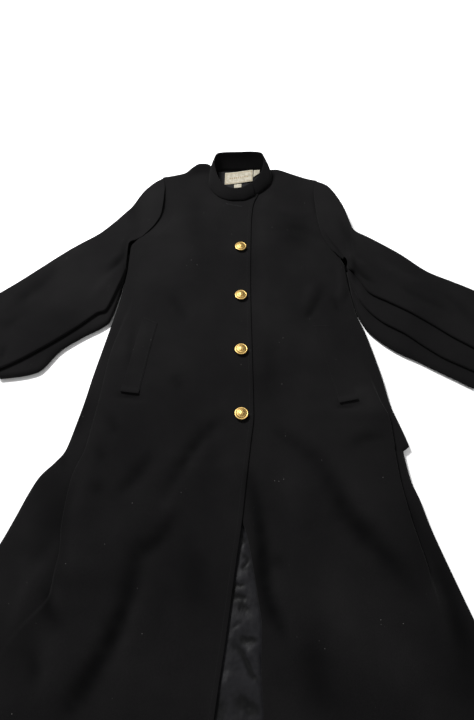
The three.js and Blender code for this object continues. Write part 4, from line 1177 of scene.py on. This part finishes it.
# The buttons: four domed buttons of stamped yellow brass, on short shanks through the right front's holes.
# Each has a rolled rim, a ring of beads and a plain six-petalled rosette on a hammered ground.
BUTTON_AROUND = 96
BUTTON_RINGS = 50
BUTTON_OUTLINE = [
    (0.0, 0.0, 0.0), (0.06, 3.4, 0.0), (0.10, 3.5, 3.9), (0.16, 10.6, 3.95), (0.20, 12.1, 4.5),
    (0.24, 12.5, 5.3), (0.28, 12.1, 6.2), (0.32, 11.3, 6.6), (0.36, 10.5, 6.35), (0.42, 9.6, 6.9),
    (0.60, 7.0, 8.2), (0.80, 3.6, 9.1), (1.0, 0.0, 9.45),
]
RIM_END = 0.36
DOME_START = 0.42
DOME_RADIUS = 9.6
PETAL_LEAST = 1.6
PETAL_LENGTH = 4.6
PETAL_HEIGHT = 0.55
HEART_HEIGHT = 0.7
HAMMERED = 0.12
BEAD_RING = 8.3
BEAD_BAND = (6.9, 9.5)
BEAD_HEIGHT = 0.5
BEAD_WAVES = 14


def brass():
    """Yellow brass, bright where it is rubbed and brown in the hollows of the pattern."""
    shader = Shader("yellow brass", metallic=1.0, roughness=0.3)
    place = shader.place()
    mottled = shader.noise(place, 420.0, 4.0, 0.65)
    grain = shader.noise(place, 1500.0, 2.0)
    tone = (shader.stored("raised") * 0.75 + mottled * 0.5).steps(0.2, 0.85)
    colour = shader.mix(tone, (0.10, 0.052, 0.012, 1), (0.60, 0.41, 0.145, 1))
    rough = 0.5 - tone * 0.14 + mottled * 0.08
    pitted = shader.bump(mottled * 0.6 + grain * 0.4, 0.00025, 0.5)
    return shader.surfaced(base_color=colour, roughness=rough, normal=pitted)


brass_metal = brass()


def button_radius_height(share):
    """The button's outline from the middle of its seat (0) round the rim to the middle of its top (1)."""
    for (low, r0, z0), (high, r1, z1) in zip(BUTTON_OUTLINE, BUTTON_OUTLINE[1:]):
        if share <= high:
            t = (share - low) / (high - low)
            return lerp(r0, r1, t), lerp(z0, z1, t)
    return BUTTON_OUTLINE[-1][1:]


def button(name, x, y, turned):
    """One button: a ball of rings whose vertices are set onto the button's outline."""
    bm = bmesh.new()
    bmesh.ops.create_uvsphere(bm, u_segments=BUTTON_AROUND, v_segments=BUTTON_RINGS, radius=1)
    height = bm.verts.layers.float.new("raised")
    seat = height_on(right_tree, x, y) + CLOTH / 2 + 0.1
    for v in bm.verts:
        angle = math.atan2(v.co.y, v.co.x)
        share = math.acos(max(-1, min(1, -v.co.z))) / math.pi
        radius, z = button_radius_height(share)
        up = 0.0
        if share > DOME_START and radius < DOME_RADIUS:
            petal = math.cos(3 * (angle - turned)) ** 2
            reach = PETAL_LEAST + PETAL_LENGTH * petal
            up = PETAL_HEIGHT * (1 - smoothstep(radius, reach - 0.8, reach + 0.4))
            up = max(up, HEART_HEIGHT * (1 - smoothstep(radius, 1.2, 1.9)))
            ground = noise.noise((radius * math.cos(angle) * 1.3, radius * math.sin(angle) * 1.3, turned))
            up += HAMMERED * ground
        bead = 0.0
        if BEAD_BAND[0] < radius < BEAD_BAND[1]:
            ring = 1 - abs(radius - BEAD_RING)
            bead = BEAD_HEIGHT * max(ring, 0) ** 0.5 * abs(math.cos(BEAD_WAVES * angle))
        v[height] = clamp01(0.25 + up + bead + (0.5 if share < RIM_END else 0))
        v.co = Vector((x + radius * math.cos(angle), y + radius * math.sin(angle), seat + z + up + bead))
    in_frame(bm)
    bmesh.ops.remove_doubles(bm, verts=bm.verts, dist=1e-6)
    bmesh.ops.recalc_face_normals(bm, faces=bm.faces)
    return shown(f"{name}_brass", bm, brass_metal, name)


for number, button_y in enumerate(BUTTONS_Y):
    button(f"button_{number + 1}", BUTTON_X, button_y, 0.4 + 0.9 * number)


# The sewing: rows of black thread along the front edge, the collar and the welts, and the buttonholes.
# Each stitch is a short bead of thread sunk into the cloth; a buttonhole is a slit bound in close stitches.
THREAD_RADIUS = 0.28
BINDING_RADIUS = 0.4
BINDING_APART = 0.75
SLIT_HALF = 0.25
LIP_HALF = 2.2
EDGE_ROW_IN = 7
WELT_ROW_IN = 3.2
WELT_ROW_STEPS = 40
COLLAR_ROW_UP = 0.8
BUTTONHOLE_OUT = 6
BUTTONHOLE_IN = 19
TOP_BUTTONHOLE = [(-24, 417), (12, 407)]


def thread():
    """Black twisted thread, a little shinier than the wool."""
    shader = Shader("black thread", roughness=0.7, sheen_weight=0.02, specular_ior_level=0.08)
    place = shader.place()
    ply = shader.noise(place, 1800.0, 2.0)
    colour = shader.mix(ply, (0.004, 0.004, 0.0042, 1), (0.014, 0.0136, 0.0142, 1))
    return shader.surfaced(base_color=colour, normal=shader.bump(ply, 0.0002, 0.5))


black_thread = thread()


def add_stitch(bm, start, end, radius):
    """A stitch between two points, as a slender ball that dips into the cloth at both ends."""
    made = bmesh.ops.create_uvsphere(bm, u_segments=6, v_segments=5, radius=1)["verts"]
    along = Vector(end) - Vector(start)
    middle = (Vector(end) + Vector(start)) / 2
    turn = Vector((0, 0, 1)).rotation_difference(along)
    for v in made:
        v.co.x *= radius
        v.co.y *= radius
        v.co.z *= along.length / 2
        v.co.rotate(turn)
        v.co += middle


def stitched_line(bm, points, spacing, length, radius):
    """Even stitches along a line of points on the cloth."""
    gone, target = 0.0, 0.0
    for a, b in zip(points, points[1:]):
        a, b = Vector(a), Vector(b)
        span = (b - a).length
        while target < gone + span:
            t = (target - gone) / span
            start = a.lerp(b, t)
            add_stitch(bm, start, start + (b - a).normalized() * length, radius)
            target += spacing
        gone += span


def on_cloth(tree, x, y, lift):
    return [x, y, height_on(tree, x, y) + CLOTH / 2 + lift]


def edge_rows(bm):
    """A row of stitches inside the right front's edge, from the hem to the collar."""
    places = [-700 + 8 * k for k in range(141)]
    points = [on_cloth(right_tree, TOP_EDGE(y) - EDGE_ROW_IN, y, 0.02) for y in places]
    stitched_line(bm, points, 4.2, 3.1, THREAD_RADIUS)


def welt_rows(bm):
    """Stitches round each welt: along its inner edge and in a close bar at each end."""
    lift = WELT_CLOTH + 0.32
    for corners, tree in ((WELT_RIGHT, right_tree), (WELT_LEFT, left_tree)):
        low_in, high_in, high_out, low_out = [Vector(corner) for corner in corners]
        for a, b, shift in ((low_in, high_in, low_out - low_in), (low_in, low_out, high_in - low_in),
                            (high_in, high_out, low_in - high_in)):
            aside = shift.normalized() * WELT_ROW_IN
            shares = [0.03 + 0.94 * k / WELT_ROW_STEPS for k in range(WELT_ROW_STEPS + 1)]
            line = [a.lerp(b, share) + aside for share in shares]
            points = [on_cloth(tree, place.x, place.y, lift) for place in line]
            stitched_line(bm, points, 3.6, 2.6, THREAD_RADIUS)


def collar_row(bm):
    """A row of stitches on the outer face of the collar below its rim."""
    outward = COLLAR_CLOTH / 2 + 0.05
    points = [collar_point(k / 10, COLLAR_ROW_UP, outward) for k in range(4, 167)]
    stitched_line(bm, points, 4.0, 2.9, THREAD_RADIUS)


def sewing_rows():
    bm = bmesh.new()
    edge_rows(bm)
    welt_rows(bm)
    collar_row(bm)
    in_frame(bm)
    return shown("sewing_rows", bm, black_thread, None)


def bind(bm, near, far):
    """One stitch of a buttonhole, from its slit out into the cloth."""
    start = on_cloth(right_tree, near.x, near.y, 0.1)
    add_stitch(bm, start, on_cloth(right_tree, far.x, far.y, 0.0), BINDING_RADIUS)


def buttonhole(bm, left, right):
    """Close stitches along both lips of a slit, fanned round its outer end."""
    a, b = Vector(left), Vector(right)
    along = (b - a).normalized()
    across = Vector((-along.y, along.x))
    count = round((b - a).length / BINDING_APART)
    for k in range(count + 1):
        middle = a.lerp(b, k / count)
        for lip in (-1, 1):
            bind(bm, middle + across * SLIT_HALF * lip, middle + across * LIP_HALF * lip)
    for k in range(9):
        angle = math.pi / 2 + math.pi * k / 8
        ray = along * math.cos(angle) + across * math.sin(angle)
        bind(bm, a + ray * 0.4, a + ray * 2.6)


def buttonholes():
    bm = bmesh.new()
    for y in BUTTONS_Y:
        buttonhole(bm, (BUTTON_X - BUTTONHOLE_OUT, y), (BUTTON_X + BUTTONHOLE_IN, y))
    buttonhole(bm, *TOP_BUTTONHOLE)
    in_frame(bm)
    return shown("buttonholes", bm, black_thread, None)


sewing_rows()
buttonholes()


# The floor: a wide white sheet of paper below the coat.
def paper():
    """Matt white paper."""
    shader = Shader("white paper", roughness=0.9)
    tone = shader.noise(shader.place(), 40.0, 2.0)
    colour = shader.mix(tone, (0.9, 0.9, 0.9, 1), (0.93, 0.93, 0.93, 1))
    return shader.surfaced(base_color=colour)


def floor():
    """The sheet itself, half a millimetre below the coat and wider than the photo."""
    bm = bmesh.new()
    bmesh.ops.create_grid(bm, x_segments=1, y_segments=1, size=6)
    mesh = bpy.data.meshes.new("floor")
    bm.to_mesh(mesh)
    bm.free()
    mesh.materials.append(paper())
    piece = bpy.data.objects.new("floor", mesh)
    bpy.context.collection.objects.link(piece)
    piece.location.z = -0.0005


floor()


# The light: an even white room with two large soft lamps, one behind the camera and one past the collar.
def lamp(name, place, target, size, power):
    """A round lamp at a place in metres, turned to its target."""
    light = bpy.data.lights.new(name, "AREA")
    light.shape = "DISK"
    light.size = size
    light.energy = power
    made = bpy.data.objects.new(name, light)
    bpy.context.collection.objects.link(made)
    made.location = place
    made.rotation_euler = (Vector(target) - Vector(place)).to_track_quat("-Z", "Y").to_euler()


world = bpy.data.worlds.new("white room")
world.use_nodes = True
world.node_tree.nodes["Background"].inputs["Color"].default_value = (1, 1, 1, 1)
world.node_tree.nodes["Background"].inputs["Strength"].default_value = 0.4
bpy.context.scene.world = world
lamp("ceiling lamp", (-0.9, 1.1, 1.7), (0, 0, 0), 0.6, 84)
lamp("room lamp", (1.2, -1.2, 1.9), (0, -0.1, 0), 1.6, 12)


# The camera: held over the hem and looking down towards the collar, as the coat was photographed.
camera_data = bpy.data.cameras.new("camera")
camera_data.lens = 27.05
camera_data.sensor_width = 36
camera_data.sensor_fit = "AUTO"
camera_data.clip_start = 0.01
camera = bpy.data.objects.new("camera", camera_data)
bpy.context.collection.objects.link(camera)
camera.location = (SHIFT_X, SHIFT_Y - 0.5765, 0.905)
camera.rotation_euler = (math.radians(32.5), 0, 0)
bpy.context.scene.camera = camera
bpy.context.scene.view_settings.view_transform = "Standard"
